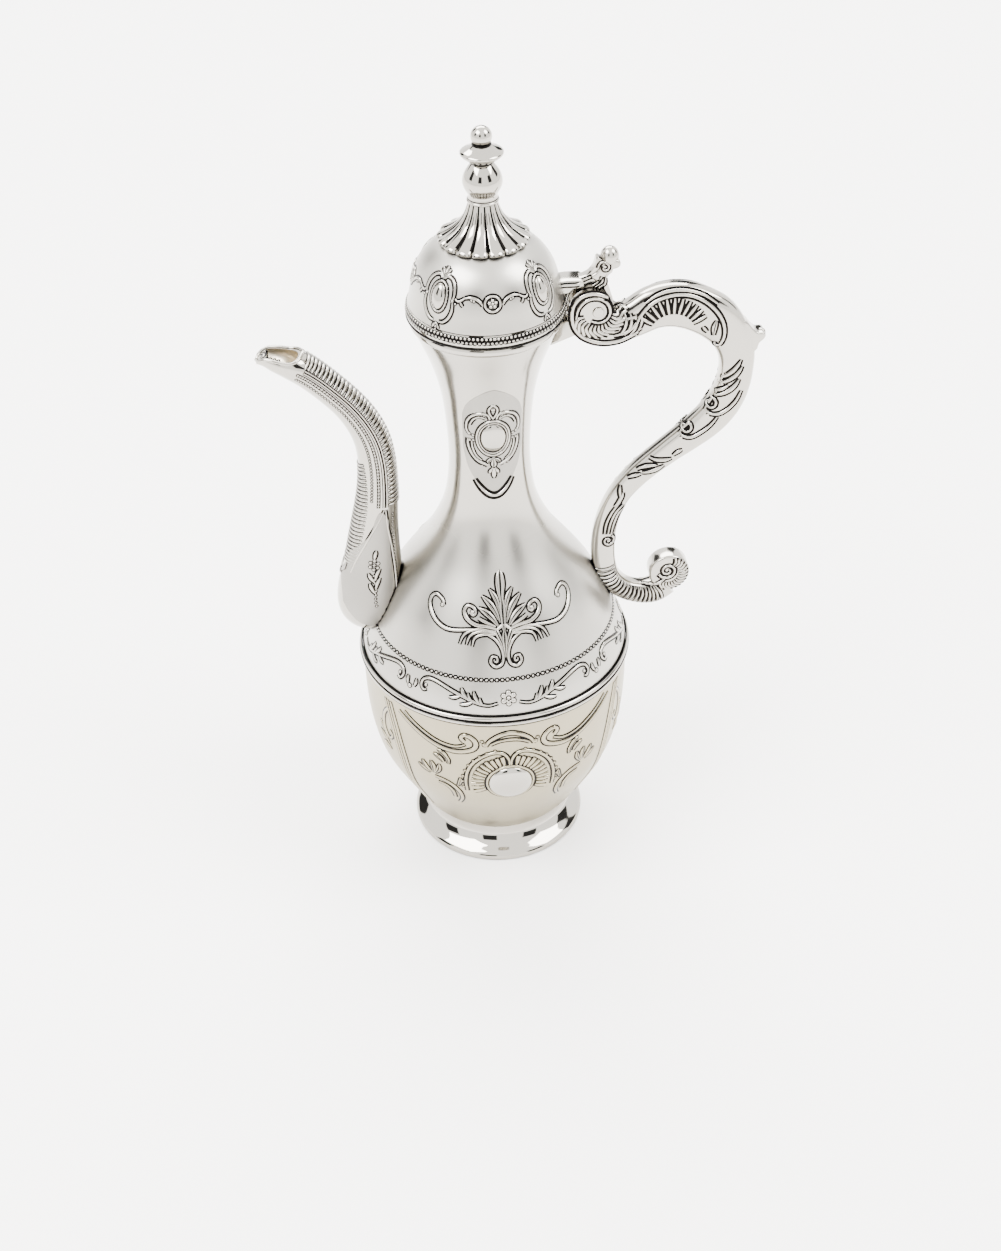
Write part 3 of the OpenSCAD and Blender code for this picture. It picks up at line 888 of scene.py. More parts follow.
class DALLAH_OT_bowl_ornament(bpy.types.Operator):
    """Chase the bowl: the boss in its gadrooned horseshoe, the arch, the scrolls and the panel borders"""

    bl_idname = "dallah.bowl_ornament"
    bl_label = "Bowl ornament"

    def execute(self, context):
        for turn, side in ((FRONT, "front"), (-FRONT, "back")):
            relief = Relief(round_wall("lower_bowl", HORSESHOE_HEIGHT, turn))
            self.horseshoe(relief)
            self.scrolls(relief)
            seat(relief.piece("bowl_relief_" + side), POT, "pearl_relief")
        return {"FINISHED"}

    @staticmethod
    def horseshoe(relief):
        relief.ridge(ring_line(0, -2, 8.9, 9.1, 0.55), rise=0.9)
        for i in range(12):
            turn = math.radians(-22 + 9 * i)
            ways = math.cos(turn), math.sin(turn)
            reach = 15.0 if i < 9 else 14.4
            relief.pair([(10.2 * ways[0], -2 + 10.2 * ways[1], 0.5),
                         (12.6 * ways[0], -2 + 12.8 * ways[1], 0.85),
                         (reach * ways[0], -2 + (reach + 0.4) * ways[1], 0.75)], rise=0.75)
        relief.pair([(16.6, -8, 0.45), (17.2, -2, 0.6), (16.4, 4, 0.6), (14, 9, 0.6), (10, 12.8, 0.6),
                     (5.6, 14.6, 0.6), (2.2, 13.6, 0.6), (0.5, 10.4, 0.5), (0.35, 7.8, 0.35)], rise=0.8)
        for i in range(9):
            turn = math.radians(-12 + 10.5 * i)
            relief.bead(18.6 * math.cos(turn), -2 + 18.4 * math.sin(turn), 0.5)
            relief.bead(-18.6 * math.cos(turn), -2 + 18.4 * math.sin(turn), 0.5)

    @staticmethod
    def scrolls(relief):
        relief.ridge([(-9.2, 17.8, 0.4), (-7.6, 20.6, 0.6), (-4, 23.2, 0.8), (0, 24.3, 0.9), (4, 23.2, 0.8),
                      (7.6, 20.6, 0.6), (9.2, 17.8, 0.4)])
        relief.ridge([(-7.4, 18.6, 0.35), (-4, 20.4, 0.45), (0, 21, 0.5), (4, 20.4, 0.45), (7.4, 18.6, 0.35)])
        for side in (-1, 1):
            relief.bead(side * 9.6, 18.6, 0.9)
            relief.bead(side * 10.6, 20.2, 0.6)
        relief.pair([(17.4, 19.4, 0.7), (18.6, 21, 0.7), (17.4, 22.6, 0.75), (14.8, 21.8, 0.8),
                     (13, 19.2, 0.85), (13.6, 16.4, 0.85), (17, 14.5, 0.8), (22, 13.6, 0.75), (28, 14.6, 0.7),
                     (34, 17, 0.65), (40, 20.2, 0.6), (46, 24, 0.5)])
        relief.pair([(17, 18, 0.3), (21, 16.2, 0.4), (27, 16.8, 0.45), (33, 19.2, 0.45), (38.6, 22.2, 0.4),
                     (43, 25.4, 0.3)])
        for base, tip, wide, bow in (
                ((24.2, 8), (28.6, 12.6), 1.0, 0.8), ((26, 6.4), (30.4, 9.8), 0.9, 0.6),
                ((24, 6), (25.2, 10.4), 0.7, 0.4), ((30, -1.5), (28, 4.6), 0.9, 0.7),
                ((30.6, -1.5), (31.6, 5.2), 1.0, 0.5), ((31.4, -1.5), (35.4, 4), 0.9, -0.6),
                ((32, -2), (37.4, 1.2), 0.7, -0.5), ((20.5, -6), (19.4, -0.5), 0.6, 0.4)):
            relief.pair(leaf(base, tip, wide, bow), groove=0.45)
        relief.pair([(30, -3.5, 0.35), (26, -4.2, 0.55), (22.4, -6.4, 0.65), (19.6, -10, 0.65),
                     (18.6, -14.5, 0.55), (19.6, -18.5, 0.4)])
        relief.pair([(28.6, -6.4, 0.3), (25, -7.4, 0.45), (22.4, -10.4, 0.5), (21.4, -14.6, 0.4)])
        for shift, wide in ((0, 0.6), (1.8, 0.4), (3.4, 0.5)):
            relief.pair([(51 + shift, 25, wide * 0.7), (47.6 + shift, 13, wide), (44.4 + shift, 0, wide),
                         (41.4 + shift * 0.9, -13, wide), (37 + shift * 0.8, -26, wide),
                         (33 + shift * 0.6, -36, wide * 0.8)])
        relief.pair([(52.6, 21, 0.4), (56, 16, 0.6), (56.6, 9, 0.6), (53.6, 4.4, 0.5), (51.4, 7, 0.5),
                     (53, 9, 0.4)])
        for base, tip in (((55, 3), (60, 10)), ((54, 0), (60.6, 4)), ((53, -3), (58.6, -2))):
            relief.pair(leaf(base, tip, 0.9, 0.8), groove=0.4)


class DALLAH_OT_bosses(bpy.types.Operator):
    """Set the polished bosses of the bowl, the neck and the lid"""

    bl_idname = "dallah.bosses"
    bl_label = "Bosses"

    def execute(self, context):
        for node, wall, height, turns, size, body in (
                ("bowl_cabochons", "lower_bowl", BOWL_BOSS_HEIGHT, (-90, 90), (8.3, 8.6, 3.2), POT),
                ("neck_cabochons", "upper_body", MEDALLION_HEIGHT, (-90, 90), (4.4, 5.9, 1.7), POT),
                ("lid_cabochons", "lid_dome", LID_BOSS_HEIGHT, (-135, -45, 45, 135), (2.6, 4.4, 1.5), LID)):
            bosses = [self.boss(wall, height, turn, size) for turn in turns]
            seat(join(node + "_set", *bosses), body, "polished", node)
        return {"FINISHED"}

    @staticmethod
    def boss(wall, height, turn, size):
        """A domed oval, (half width, half height, rise), sunk a little into the wall and square to it."""
        at, out = round_wall(wall, height, turn)(0, 0)
        made = pearl("boss", (0, 0, 0), 1, sides=48)
        made.scale = size
        freeze(made)
        made.rotation_euler = out.to_track_quat("Z", "Y").to_euler()
        made.location = (at - out * 0.1 * size[2]) * MM
        return freeze(made)


class DALLAH_OT_shoulder_ornament(bpy.types.Operator):
    """Chase the shoulder: the palmette, the bead line, and the rosettes with their leafy scrolls"""

    bl_idname = "dallah.shoulder_ornament"
    bl_label = "Shoulder ornament"

    def execute(self, context):
        for turn, side in ((FRONT, "front"), (-FRONT, "back")):
            palmette = Relief(round_wall("upper_body", PALMETTE_HEIGHT, turn))
            self.leaves(palmette)
            self.stems(palmette)
            seat(palmette.piece("shoulder_palmette_" + side), POT, "relief")
        # Each bead sits in a wide seat of near-black painted shade, so the row reads as a dark dotted line.
        line = Relief(round_wall("upper_body", BEAD_LINE_HEIGHT), edge=1.1)
        around = math.tau * line.place(0, 0)[0].xy.length
        beads = context.scene.dallah_sizes.shoulder_beads
        for i in range(beads):
            line.bead(around * i / beads, 0, 0.5, tall=0.9, sides=6)
        seat(line.piece("shoulder_bead_line"), POT, "relief")
        for i, side in enumerate(("front", "right", "back", "left")):
            scrolls = Relief(round_wall("upper_body", ROSETTE_HEIGHT, FRONT + 90 * i))
            self.rosette(scrolls)
            seat(scrolls.piece("shoulder_scrolls_" + side), POT, "relief")
        return {"FINISHED"}

    @staticmethod
    def leaves(relief):
        relief.ridge([(0, 18, 0.4), (-0.2, 22, 1.1), (-0.1, 26, 1.7), (0, 29.4, 1.4), (0.1, 31.4, 0.3)],
                     groove=0.75, sides=7)
        relief.ridge([(0, 9, 0.4), (0, 14, 0.9), (0, 19, 0.9), (0, 22.5, 0.2)], groove=0.5, rise=0.5)
        for base, tip, wide, bow in (
                ((1.0, 16), (4.3, 24.6), 0.9, 0.7), ((1.6, 13), (7.2, 21.9), 1.1, 0.9),
                ((2.2, 11), (8.9, 17.4), 1.15, 0.9), ((0.7, 14), (2.6, 21), 0.6, 0.3),
                ((1.2, 12), (5.0, 19.6), 0.6, 0.5), ((1.8, 10.4), (6.8, 16.2), 0.6, 0.5)):
            relief.pair(leaf(base, tip, wide, bow), groove=0.6, sides=7)
        relief.pair([(2.6, 9.6, 0.4), (6, 10.6, 0.6), (10, 11, 0.7), (13.2, 12.8, 0.7), (14.2, 15.6, 0.6),
                     (12.8, 17.8, 0.55), (10.6, 17.4, 0.5), (9.9, 15.6, 0.45), (11, 14.4, 0.4),
                     (12, 15.2, 0.3)], rise=0.7)
        relief.pair([(3, 10.6, 0.3), (6.5, 12.2, 0.5), (9, 13.6, 0.4)])
        for spot in ((11.2, 15.6), (23.2, 15.8)):
            relief.bead(spot[0], spot[1], 0.7)
            relief.bead(-spot[0], spot[1], 0.7)

    @staticmethod
    def stems(relief):
        relief.pair([(3, 8.8, 0.3), (7, 9.4, 0.35), (12, 9.2, 0.4), (17, 8.3, 0.5), (22, 7.9, 0.6),
                     (26.4, 9.8, 0.65), (28.8, 13.4, 0.6), (28.2, 17, 0.55), (25.6, 18.8, 0.5),
                     (23, 17.8, 0.45), (22.4, 15.8, 0.35)], rise=0.8)
        for tip, top in (((12.2, 2.9), (8.2, 7.6)), ((14.4, 3.2), (9.4, 8.6)), ((17, 3.2), (11, 9.2))):
            relief.pair([(2.6, 7.6, 0.25), (top[0] * 0.62, top[1] + 0.2, 0.5), (*top, 0.5),
                         ((tip[0] + top[0]) / 2 + 0.9, (tip[1] + top[1]) / 2 + 0.9, 0.42), (*tip, 0.15)],
                        rise=0.8)
        relief.pair([(6.4, 7.8, 0.3), (3.6, 6, 0.45), (1.6, 3, 0.5), (0.9, -0.6, 0.5), (1.8, -3.6, 0.55),
                     (4.2, -4.4, 0.55), (5.7, -2.6, 0.5), (5, -0.6, 0.45), (3.3, -1, 0.4), (3.4, -2.6, 0.4),
                     (4.3, -2.4, 0.35)], rise=0.9)
        relief.pair([(0.3, 1, 0.2), (1.2, 4.6, 0.6), (2.6, 8.4, 0.7), (3.2, 10, 0.2)], groove=0.5)
        relief.ridge([(0, -1, 0.2), (0, 3, 0.7), (0, 6.6, 0.8), (0, 9.8, 0.15)], groove=0.6)
        relief.ridge([(-3.6, 8.6, 0.3), (-1.8, 10, 0.45), (0, 11.2, 0.45), (1.8, 10, 0.45), (3.6, 8.6, 0.3)])

    @staticmethod
    def rosette(relief):
        for i in range(6):
            turn = math.radians(90 + 60 * i)
            relief.bead(2.1 * math.cos(turn), 0.2 + 2.1 * math.sin(turn), 0.9, rise=0.6)
        relief.ridge(ring_line(0, 0.2, 1.35, 1.35, 0.25, count=12))
        relief.bead(0, 0.2, 0.7)
        relief.pair([(4, -1.6, 0.2), (7.4, -2.5, 0.3), (11, -2, 0.4), (14.5, -0.6, 0.45), (18, 0.8, 0.5),
                     (22, 2.4, 0.5), (26, 3.9, 0.5), (29.6, 4.5, 0.5), (32.6, 3.5, 0.45), (34, 1.2, 0.4),
                     (33.2, -0.6, 0.35), (31.8, 0, 0.3)], rise=0.8)
        for base, tip, wide in (((10.6, -2.4), (12.8, 3), 0.6), ((9.4, -2.6), (10.6, 0.6), 0.45),
                                ((14.8, -1), (17.4, 3.8), 0.65), ((13, -1.8), (15, 2.2), 0.4),
                                ((18, 0.6), (22.6, -0.6), 0.5), ((13.6, -1.4), (18.6, -2.8), 0.5)):
            relief.pair(leaf(base, tip, wide, -0.5), groove=0.3)
        relief.bead(32, 1.4, 0.55)
        relief.bead(-32, 1.4, 0.55)
        relief.bead(38.6, -1.5, 0.8, rise=0.5)
        relief.pair(leaf((37.6, -1), (36.2, 2.4), 0.5, 0.3))


class DALLAH_OT_neck_ornament(bpy.types.Operator):
    """Lay the neck's pointed satin panel with its medallion, wings and drops"""

    bl_idname = "dallah.neck_ornament"
    bl_label = "Neck ornament"

    PANEL = [(-11.4, 9, -6), (-10, 13.2, -12.4), (-8, 16.2, -16.8), (-6, 18.2, -19.6), (-4, 19.8, -21.8),
             (-2, 21, -23.6), (0, 21.6, -24.4), (2, 21, -23.6), (4, 19.8, -21.8), (6, 18.2, -19.6),
             (8, 16.2, -16.8), (10, 13.2, -12.4), (11.4, 9, -6)]

    def execute(self, context):
        for turn, side in ((FRONT, "front"), (-FRONT, "back")):
            wall = round_wall("upper_body", PANEL_HEIGHT, turn)
            seat(inlay("neck_panel_" + side, wall, self.PANEL), POT, "panel")
            relief = Relief(round_wall("upper_body", MEDALLION_HEIGHT, turn, lift=0.12))
            self.medallion(relief)
            seat(relief.piece("neck_relief_" + side), POT, "relief")
        return {"FINISHED"}

    @staticmethod
    def medallion(relief):
        relief.ridge([(-7, -18, 0.15), (-5, -21, 0.45), (-2.4, -23.6, 0.55), (0, -24.4, 0.6),
                      (2.4, -23.6, 0.55), (5, -21, 0.45), (7, -18, 0.15)], rise=1, edge=1.1)
        relief.ridge(ring_line(0, 0, 5.9, 7.5, 0.38, count=36), rise=1)
        relief.ridge(ring_line(0, 0, 5.05, 6.5, 0.26, count=36), rise=1)
        relief.pair([(1.2, 8.4, 0.3), (2, 10.4, 0.42), (4.6, 10.9, 0.5), (7.6, 9.4, 0.5), (9.4, 6.6, 0.45),
                     (9.8, 3.4, 0.35), (8.9, 1.6, 0.35)], rise=0.9)
        relief.pair([(2.6, 8.6, 0.2), (4.8, 9.3, 0.3), (7, 8, 0.3), (8.3, 5.6, 0.25)])
        relief.pair([(9.2, -0.8, 0.3), (9.2, -3.6, 0.4), (7.8, -7.2, 0.5), (5.4, -10, 0.5),
                     (2.2, -11.6, 0.35)], rise=0.9, edge=0.9)
        relief.pair([(7.8, -1.6, 0.2), (7.6, -4.4, 0.3), (6.2, -7.8, 0.3), (4.2, -9.6, 0.2)])
        for u, v, size in ((8.7, 1.4, 0.55), (7.3, 0.9, 0.5), (8.6, -1.4, 0.5), (7.2, -1.2, 0.45)):
            relief.bead(u, v, size)
            relief.bead(-u, v, size)
        relief.ridge([(0, 8.6, 0.3), (-1.3, 11, 0.35), (-1.4, 13, 0.38), (0, 14.6, 0.4), (1.4, 13, 0.38),
                      (1.3, 11, 0.35), (0, 8.6, 0.3)], rise=0.9)
        relief.bead(0, 12.6, 0.7)
        relief.pair(leaf((0.3, -9), (2.3, -10.8), 0.6, 0.3), groove=0.4)
        relief.ridge(leaf((0, -9), (0, -13), 0.9), groove=0.4)
        relief.pair(leaf((0.4, -13), (1.6, -15.4), 0.5, 0.2))
        relief.ridge(leaf((0, -13), (0, -17.4), 0.7), groove=0.3)
        relief.bead(0, -14.8, 0.5)


SPOUT = [(-45.5, 101.6, 3, 3), (-46.4, 104, 7.4, 6.4), (-47.2, 108, 10.8, 8.6), (-47.5, 113, 12.2, 9.6),
         (-46.8, 119, 12.4, 9.8), (-46, 125, 11.8, 9.4), (-45, 132, 10.7, 8.8), (-44.2, 140, 9.7, 8.2),
         (-43.2, 149, 8.7, 7.6), (-42, 158, 7.9, 7.1), (-41.3, 167, 7.2, 6.7), (-41.3, 176.4, 6.8, 6.5),
         (-42.6, 185, 6.5, 6.2), (-45.6, 192.8, 6.2, 6), (-50.2, 200.2, 5.9, 5.8), (-56.4, 207.4, 5.8, 5.7),
         (-62.6, 213.6, 5.8, 6), (-68, 217.8, 5.6, 6.8), (-72.6, 220.1, 4.8, 6.6), (-77, 221.3, 3.6, 4.8),
         (-80.6, 220.8, 1.6, 2.4)]


class DALLAH_OT_spout(bpy.types.Operator):
    """Cast the hollow spout with its beak, ribs, bead rows and base panel"""

    bl_idname = "dallah.spout"
    bl_label = "Spout"

    PANEL = [(-57.6, 126, 117), (-56, 133, 113.4), (-53, 139, 109), (-50, 142.4, 106.6), (-47, 145.8, 105),
             (-45, 149, 104.6), (-43.2, 154, 105), (-41.6, 156.8, 106), (-40, 156, 108), (-38.6, 153, 112)]
    RIM = [(-81.4, 219.2), (-78.6, 221.7), (-76, 222.4), (-72.2, 221.6), (-69, 220.9), (-66, 221.3),
           (-63.8, 222.7), (-62.2, 225.4)]

    def execute(self, context):
        wall = 1.3
        inside = [(x, z, deep - wall, wide - wall) for x, z, deep, wide in SPOUT[1:-1]]
        inside[-1] = (inside[-1][0], inside[-1][1] + 0.8, *inside[-1][2:])
        bore = drawn("spout_bore", inside)
        for face in bore.data.polygons:
            face.material_index = 1
        mouth = slab("mouth_cutter", [(-86, 216), *curve_through(self.RIM, 4), (-62, 234), (-86, 234)], 26)
        tree = tree_of("upper_body")
        heights = spread(92, 168, 4)
        core = [(outer_radius(tree, z) - 0.5, z) for z in heights]
        plug = turned("body_core", [(1.0, heights[0])] + core + [(1.0, heights[-1])], levels=0, ring=False)
        body = drawn("spout_casting", SPOUT, sides=48)
        for piece in (body, bore):
            for metal in ("polished", "lining"):
                piece.data.materials.append(finish(metal))
        seat(smooth(cut(body, bore, mouth, plug), 50), POT, "polished", "spout", second="lining")
        relief = Relief(along_bar(SPOUT), foot=0.2)
        self.ribs(relief)
        self.rows(relief)
        seat(relief.piece("spout_relief"), POT, "cast")
        self.lip(body)
        for side, name in ((-1, "front"), (1, "back")):
            panel = seat(inlay("spout_panel_" + name, seen_from(body, side), self.PANEL), POT, "panel")
            plume = Relief(seen_from(panel, side), foot=0.2)
            self.plume(plume)
            seat(plume.piece("spout_plume_" + name), POT, "relief")
        return {"FINISHED"}

    @staticmethod
    def ribs(relief):
        for i in range(40):
            t = 9.2 + 0.188 * i
            rib = ((-60, 0.2), (-44, 0.5), (-22, 0.52), (0, 0.52), (22, 0.52), (44, 0.5), (60, 0.2))
            relief.ridge([(t, angle, wide) for angle, wide in rib], rise=0.9, steps=2, edge=0.38)
        for i in range(28):
            t = 6.0 + 0.18 * i
            reach = 46 + 14 * math.sin(math.pi * i / 27)
            relief.ridge([(t + 0.2, 180 - reach, 0.15), (t + 0.06, 180 - reach / 2, 0.42), (t, 180, 0.45),
                          (t + 0.06, 180 + reach / 2, 0.42), (t + 0.2, 180 + reach, 0.15)], rise=0.9,
                         edge=0.38)

    @staticmethod
    def rows(relief):
        for side in (-1, 1):
            for angle in (66, 75):
                relief.ridge([(9.1 + 0.37 * k, side * angle, 0.28) for k in range(21)], rise=1, edge=0.3)
            # A flat ridge with wide strips of near-black painted shade: a dark line between the bead rows.
            relief.ridge([(9.1 + 0.37 * k, side * 90, 0.1) for k in range(21)], rise=0.1, edge=0.6)
            for i in range(52):
                relief.bead(9.2 + 0.147 * i, side * 90, 0.44, sides=6)
            for i in range(50):
                relief.bead(9.4 + 0.147 * i, side * 110, 0.36, sides=6)
            relief.ridge([(9.0, side * 70, 0.2), (8.2, side * 62, 0.35), (7.2, side * 50, 0.4),
                          (6, side * 43, 0.4), (4.8, side * 40, 0.35), (3.6, side * 44, 0.3)], rise=0.8)
            relief.ridge([(9.0, side * 74, 0.2), (8.4, side * 88, 0.35), (7.6, side * 108, 0.4),
                          (6.4, side * 132, 0.4), (5.6, side * 140, 0.3)], rise=0.8)
            for i in range(26):
                relief.bead(4 + 0.19 * i, side * (35 + 0.5 * i), 0.3, sides=6)

    def lip(self, body):
        """A rolled bead round the mouth, and grooves down the floor of the beak."""
        floor = BVHTree.FromPolygons([v.co for v in body.data.vertices],
                                     [p.vertices for p in body.data.polygons])
        rows = []
        for x, z in curve_through(self.RIM, 3):
            hit = floor.ray_cast(Vector((x, -20, z - 0.2)) * MM, Vector((0, 1, 0)))[0]
            if hit and hit.y < -1 * MM:
                rows.append((x, -hit.y / MM - 0.5, z))
        front, back = rows[0], rows[-1]
        loop = [(front[0] - 0.9, 0, front[2] - 0.7), *rows, (back[0] + 0.7, 0, back[2] + 0.3)]
        loop += [(x, -y, z) for x, y, z in reversed(rows)]
        seat(self.tube("spout_rolled_lip", loop, 0.6), POT, "polished")

        def place(u, v):
            at, out = floor.ray_cast(Vector((u * MM, v * MM, 0.223)), Vector((0, 0, -1)))[:2]
            return at / MM, out
        grooves = Relief(place, foot=0.1)
        for x, reach in ((-78.6, 1.6), (-77.2, 2.4), (-75.8, 3), (-74.4, 3.6), (-73, 4)):
            grooves.ridge([(x, -reach, 0.15), (x + 0.9, -reach / 2, 0.3), (x + 1.2, 0, 0.32),
                           (x + 0.9, reach / 2, 0.3), (x, reach, 0.15)], rise=0.9)
        seat(grooves.piece("spout_beak_grooves"), POT, "cast")

    @staticmethod
    def tube(name, loop, radius):
        """A round wire along a closed loop of points in mm."""
        path = bpy.data.curves.new(name, "CURVE")
        path.dimensions = "3D"
        path.bevel_depth = radius * MM
        path.bevel_resolution = 3
        line = path.splines.new("POLY")
        line.points.add(len(loop) - 1)
        for point, at in zip(line.points, loop):
            point.co = (*(Vector(at) * MM), 1)
        line.use_cyclic_u = True
        made = bpy.data.objects.new(name, path)
        bpy.context.scene.collection.objects.link(made)
        pick(made)
        bpy.ops.object.convert(target="MESH")
        return smooth(made, 60)

    @staticmethod
    def plume(relief):
        for i in range(9):
            relief.bead(-45.2 - 0.25 * math.sin(i), 116.4 + 1.7 * i, 0.42, sides=6)
        for base, tip, wide in (((-45.2, 122), (-47.2, 127), 0.6), ((-45, 124), (-43, 129), 0.6),
                                ((-45.2, 127), (-47.4, 131.4), 0.6), ((-45, 128), (-42.8, 133), 0.6)):
            relief.ridge(leaf(base, tip, wide, 0.3), groove=0.3)
        for i in range(6):
            turn = math.radians(60 * i + 20)
            relief.bead(-45 + 1.6 * math.cos(turn), 134.6 + 1.9 * math.sin(turn), 0.62, sides=6)
        relief.bead(-45, 134.6, 0.55, sides=6)
        relief.ridge(leaf((-44.8, 137), (-43.8, 141), 0.6), groove=0.3)


HANDLE = [(42, 224.6, 5.4, 4.6), (47, 224.4, 6.6, 4.5), (52.6, 226.6, 7.2, 4.4), (58.4, 229.5, 7.9, 4.4),
          (64.2, 230.5, 8.3, 4.5), (70.2, 229.7, 8.5, 4.6), (76, 227.2, 8.4, 4.6), (81.6, 223.4, 8.2, 4.6),
          (86.6, 217, 7.2, 4.5), (89.2, 210, 6.6, 4.4), (89.6, 203, 6.2, 4.3), (88.8, 197, 6.3, 4.2),
          (86.8, 191, 6.5, 4.1), (83.6, 185.6, 6.6, 4), (79.4, 180.8, 6.4, 3.9), (73, 175.4, 5.8, 3.8),
          (64.9, 169.2, 5.1, 3.7), (54.9, 160.6, 4.6, 3.6), (47.6, 151.2, 4.2, 3.6), (43.7, 140.6, 4.3, 3.6),
          (42.4, 130, 4.5, 3.7), (43, 120.4, 4.6, 3.8), (45.4, 113.8, 4.4, 3.8), (50.4, 108.6, 4.3, 3.8),
          (57, 105.9, 4.6, 3.8), (62.8, 106, 5, 3.8), (67.6, 109, 4.8, 3.8)]


class DALLAH_OT_handle(bpy.types.Operator):
    """Cast the scrolled handle with its fork, spur, bracket and chased sides, and drive the pin"""

    bl_idname = "dallah.handle"
    bl_label = "Handle"

    CHEEK = [(52, 229.4), (47.5, 229), (44.3, 231.6), (43.2, 235.2), (40.3, 238.7), (36.2, 240),
             (32.2, 239.1), (29.4, 236), (28.5, 231.8), (29.2, 227), (32, 222.6), (36.2, 219.9), (41, 218.8),
             (47, 219.1), (53, 221.6)]
    SPUR = [(88, 224), (91.8, 222.4), (94.2, 219.6), (96, 218), (98.4, 217.8), (99, 216.4), (98.2, 215),
            (96.8, 213.6), (95.6, 210.6), (90, 209)]
    SLOT = 4.4
    FORK = 10.8

    def execute(self, context):
        bar = drawn("handle_casting", HANDLE, sides=48, steps=5, square=3.0)
        x, z = PIN.x, PIN.z
        room = rod("slot_round", (x, 0, z), 6.6, self.SLOT)
        space = slab("slot_space", [(x - 6.6, z), (x + 9, z), (x + 9, z + 18), (x - 6.6, z + 18)], self.SLOT)
        parts = [bar]
        thick = (self.FORK - self.SLOT) / 2
        for side in (-1, 1):
            outline = curve_through(self.CHEEK, 4)
            parts.append(slab("cheek", outline, thick, side * (self.SLOT + thick) / 2, 0.5))
        cut(bar, room, space)
        parts.append(rod("lower_scroll", (68, 0, 115.6), 7.8, 7.2, edge=0.9))
        bracket = [(17, 218.4), (23, 219.6), (33, 223.4), (33, 230.4), (29.6, 229.6), (23, 227.4),
                   (17, 226.4)]
        tree = tree_of("upper_body")
        heights = spread(205, 229, 3)
        plug = turned("neck_core",
                      [(1.0, 205)] + [(outer_radius(tree, h) - 0.5, h) for h in heights] + [(1.0, 229)],
                      levels=0, ring=False)
        parts.append(cut(slab("bracket", bracket, 8, edge=0.9), plug))
        parts.append(slab("spur", curve_through(self.SPUR, 3), 6.4, edge=0.8))
        parts.append(pearl("spur_tip", (97.9, 0, 216.4), 1.7))
        casting = seat(join("handle_casting", *parts), POT, "cast", "handle")
        for side in (-1, 1):
            name = "front" if side < 0 else "back"
            relief = Relief(seen_from(casting, side), foot=0.3, edge=0.75)
            self.volute(relief)
            self.crest(relief)
            self.grip(relief)
            self.scroll(relief)
            seat(relief.piece("handle_relief_" + name), POT, "relief")
        self.pin()
        return {"FINISHED"}

    @staticmethod
    def volute(relief):
        relief.ridge([(44.4, 232, 0.3), (43.4, 235.4, 0.5), (40.4, 238.2, 0.6), (36.2, 239.3, 0.65),
                      (32.4, 238.2, 0.65), (30, 235.4, 0.65), (29.3, 231.6, 0.65), (30, 227, 0.65),
                      (32.6, 223.2, 0.65), (36.6, 220.8, 0.65), (41, 219.8, 0.65), (46, 220.2, 0.6),
                      (50, 221.8, 0.5), (54, 224, 0.3)], rise=0.7)
        relief.ridge([(30.8, 230, 0.3), (31.6, 234, 0.5), (34.4, 236.9, 0.55), (38.2, 237.4, 0.55),
                      (41.6, 235.4, 0.55), (42.7, 231.8, 0.5), (41.2, 228.9, 0.45), (38.6, 228, 0.4),
                      (36, 228.8, 0.35)], rise=0.9)
        for i in range(13):
            turn = math.radians(198 + 12.5 * i)
            ways = math.cos(turn), math.sin(turn)
            later = math.cos(turn + 0.32), math.sin(turn + 0.32)
            relief.ridge([(PIN.x + 5.2 * ways[0], PIN.z + 5.2 * ways[1], 0.25),
                          (PIN.x + 7.6 * ways[0], PIN.z + 7.6 * ways[1], 0.62),
                          (PIN.x + 10.2 * later[0], PIN.z + 9.8 * later[1], 0.55)], rise=0.8, steps=4)
        for i in range(4):
            x = 47.2 + 1.9 * i
            relief.ridge([(x + 0.8, 230.4 - 0.3 * i, 0.2), (x + 1.2, 227.4, 0.5), (x + 0.4, 224.4, 0.5),
                          (x - 1.2, 222.4, 0.2)], rise=0.8)

    @staticmethod
    def crest(relief):
        relief.ridge([(44, 222.4, 0.3), (48.6, 223.4, 0.55), (52, 226.6, 0.6), (54.6, 230.4, 0.6),
                      (58, 233.6, 0.6), (62.4, 235.4, 0.6), (67.4, 235.9, 0.6), (72.4, 234.8, 0.6),
                      (77, 232, 0.6), (80.8, 228, 0.6), (83.2, 223.2, 0.55), (83.6, 218.4, 0.5),
                      (82.2, 215, 0.45), (80.6, 214.8, 0.35), (80.4, 216.4, 0.3)], rise=0.8)
        relief.ridge([(55, 233.4, 0.3), (59, 236, 0.5), (64, 237.3, 0.6), (70, 237, 0.6), (76, 234.8, 0.5),
                      (81, 231, 0.3)], rise=0.9)
        for i in range(11):
            turn = math.radians(146 - 11.6 * i)
            ways = math.cos(turn), math.sin(turn)
            reach = 13.6 + 0.8 * math.sin(math.pi * i / 10)
            relief.ridge([(65 + 8.2 * ways[0], 220.4 + 8.2 * ways[1], 0.35),
                          (65 + 11 * ways[0], 220.4 + 11 * ways[1], 0.6),
                          (65 + reach * ways[0], 220.4 + reach * ways[1], 0.35)], rise=0.9)
        relief.ridge(leaf((79.8, 219), (80.6, 225), 0.8, 0.3), groove=0.5)
        relief.ridge(leaf((77.6, 220.6), (75.8, 223), 0.5, 0.2))

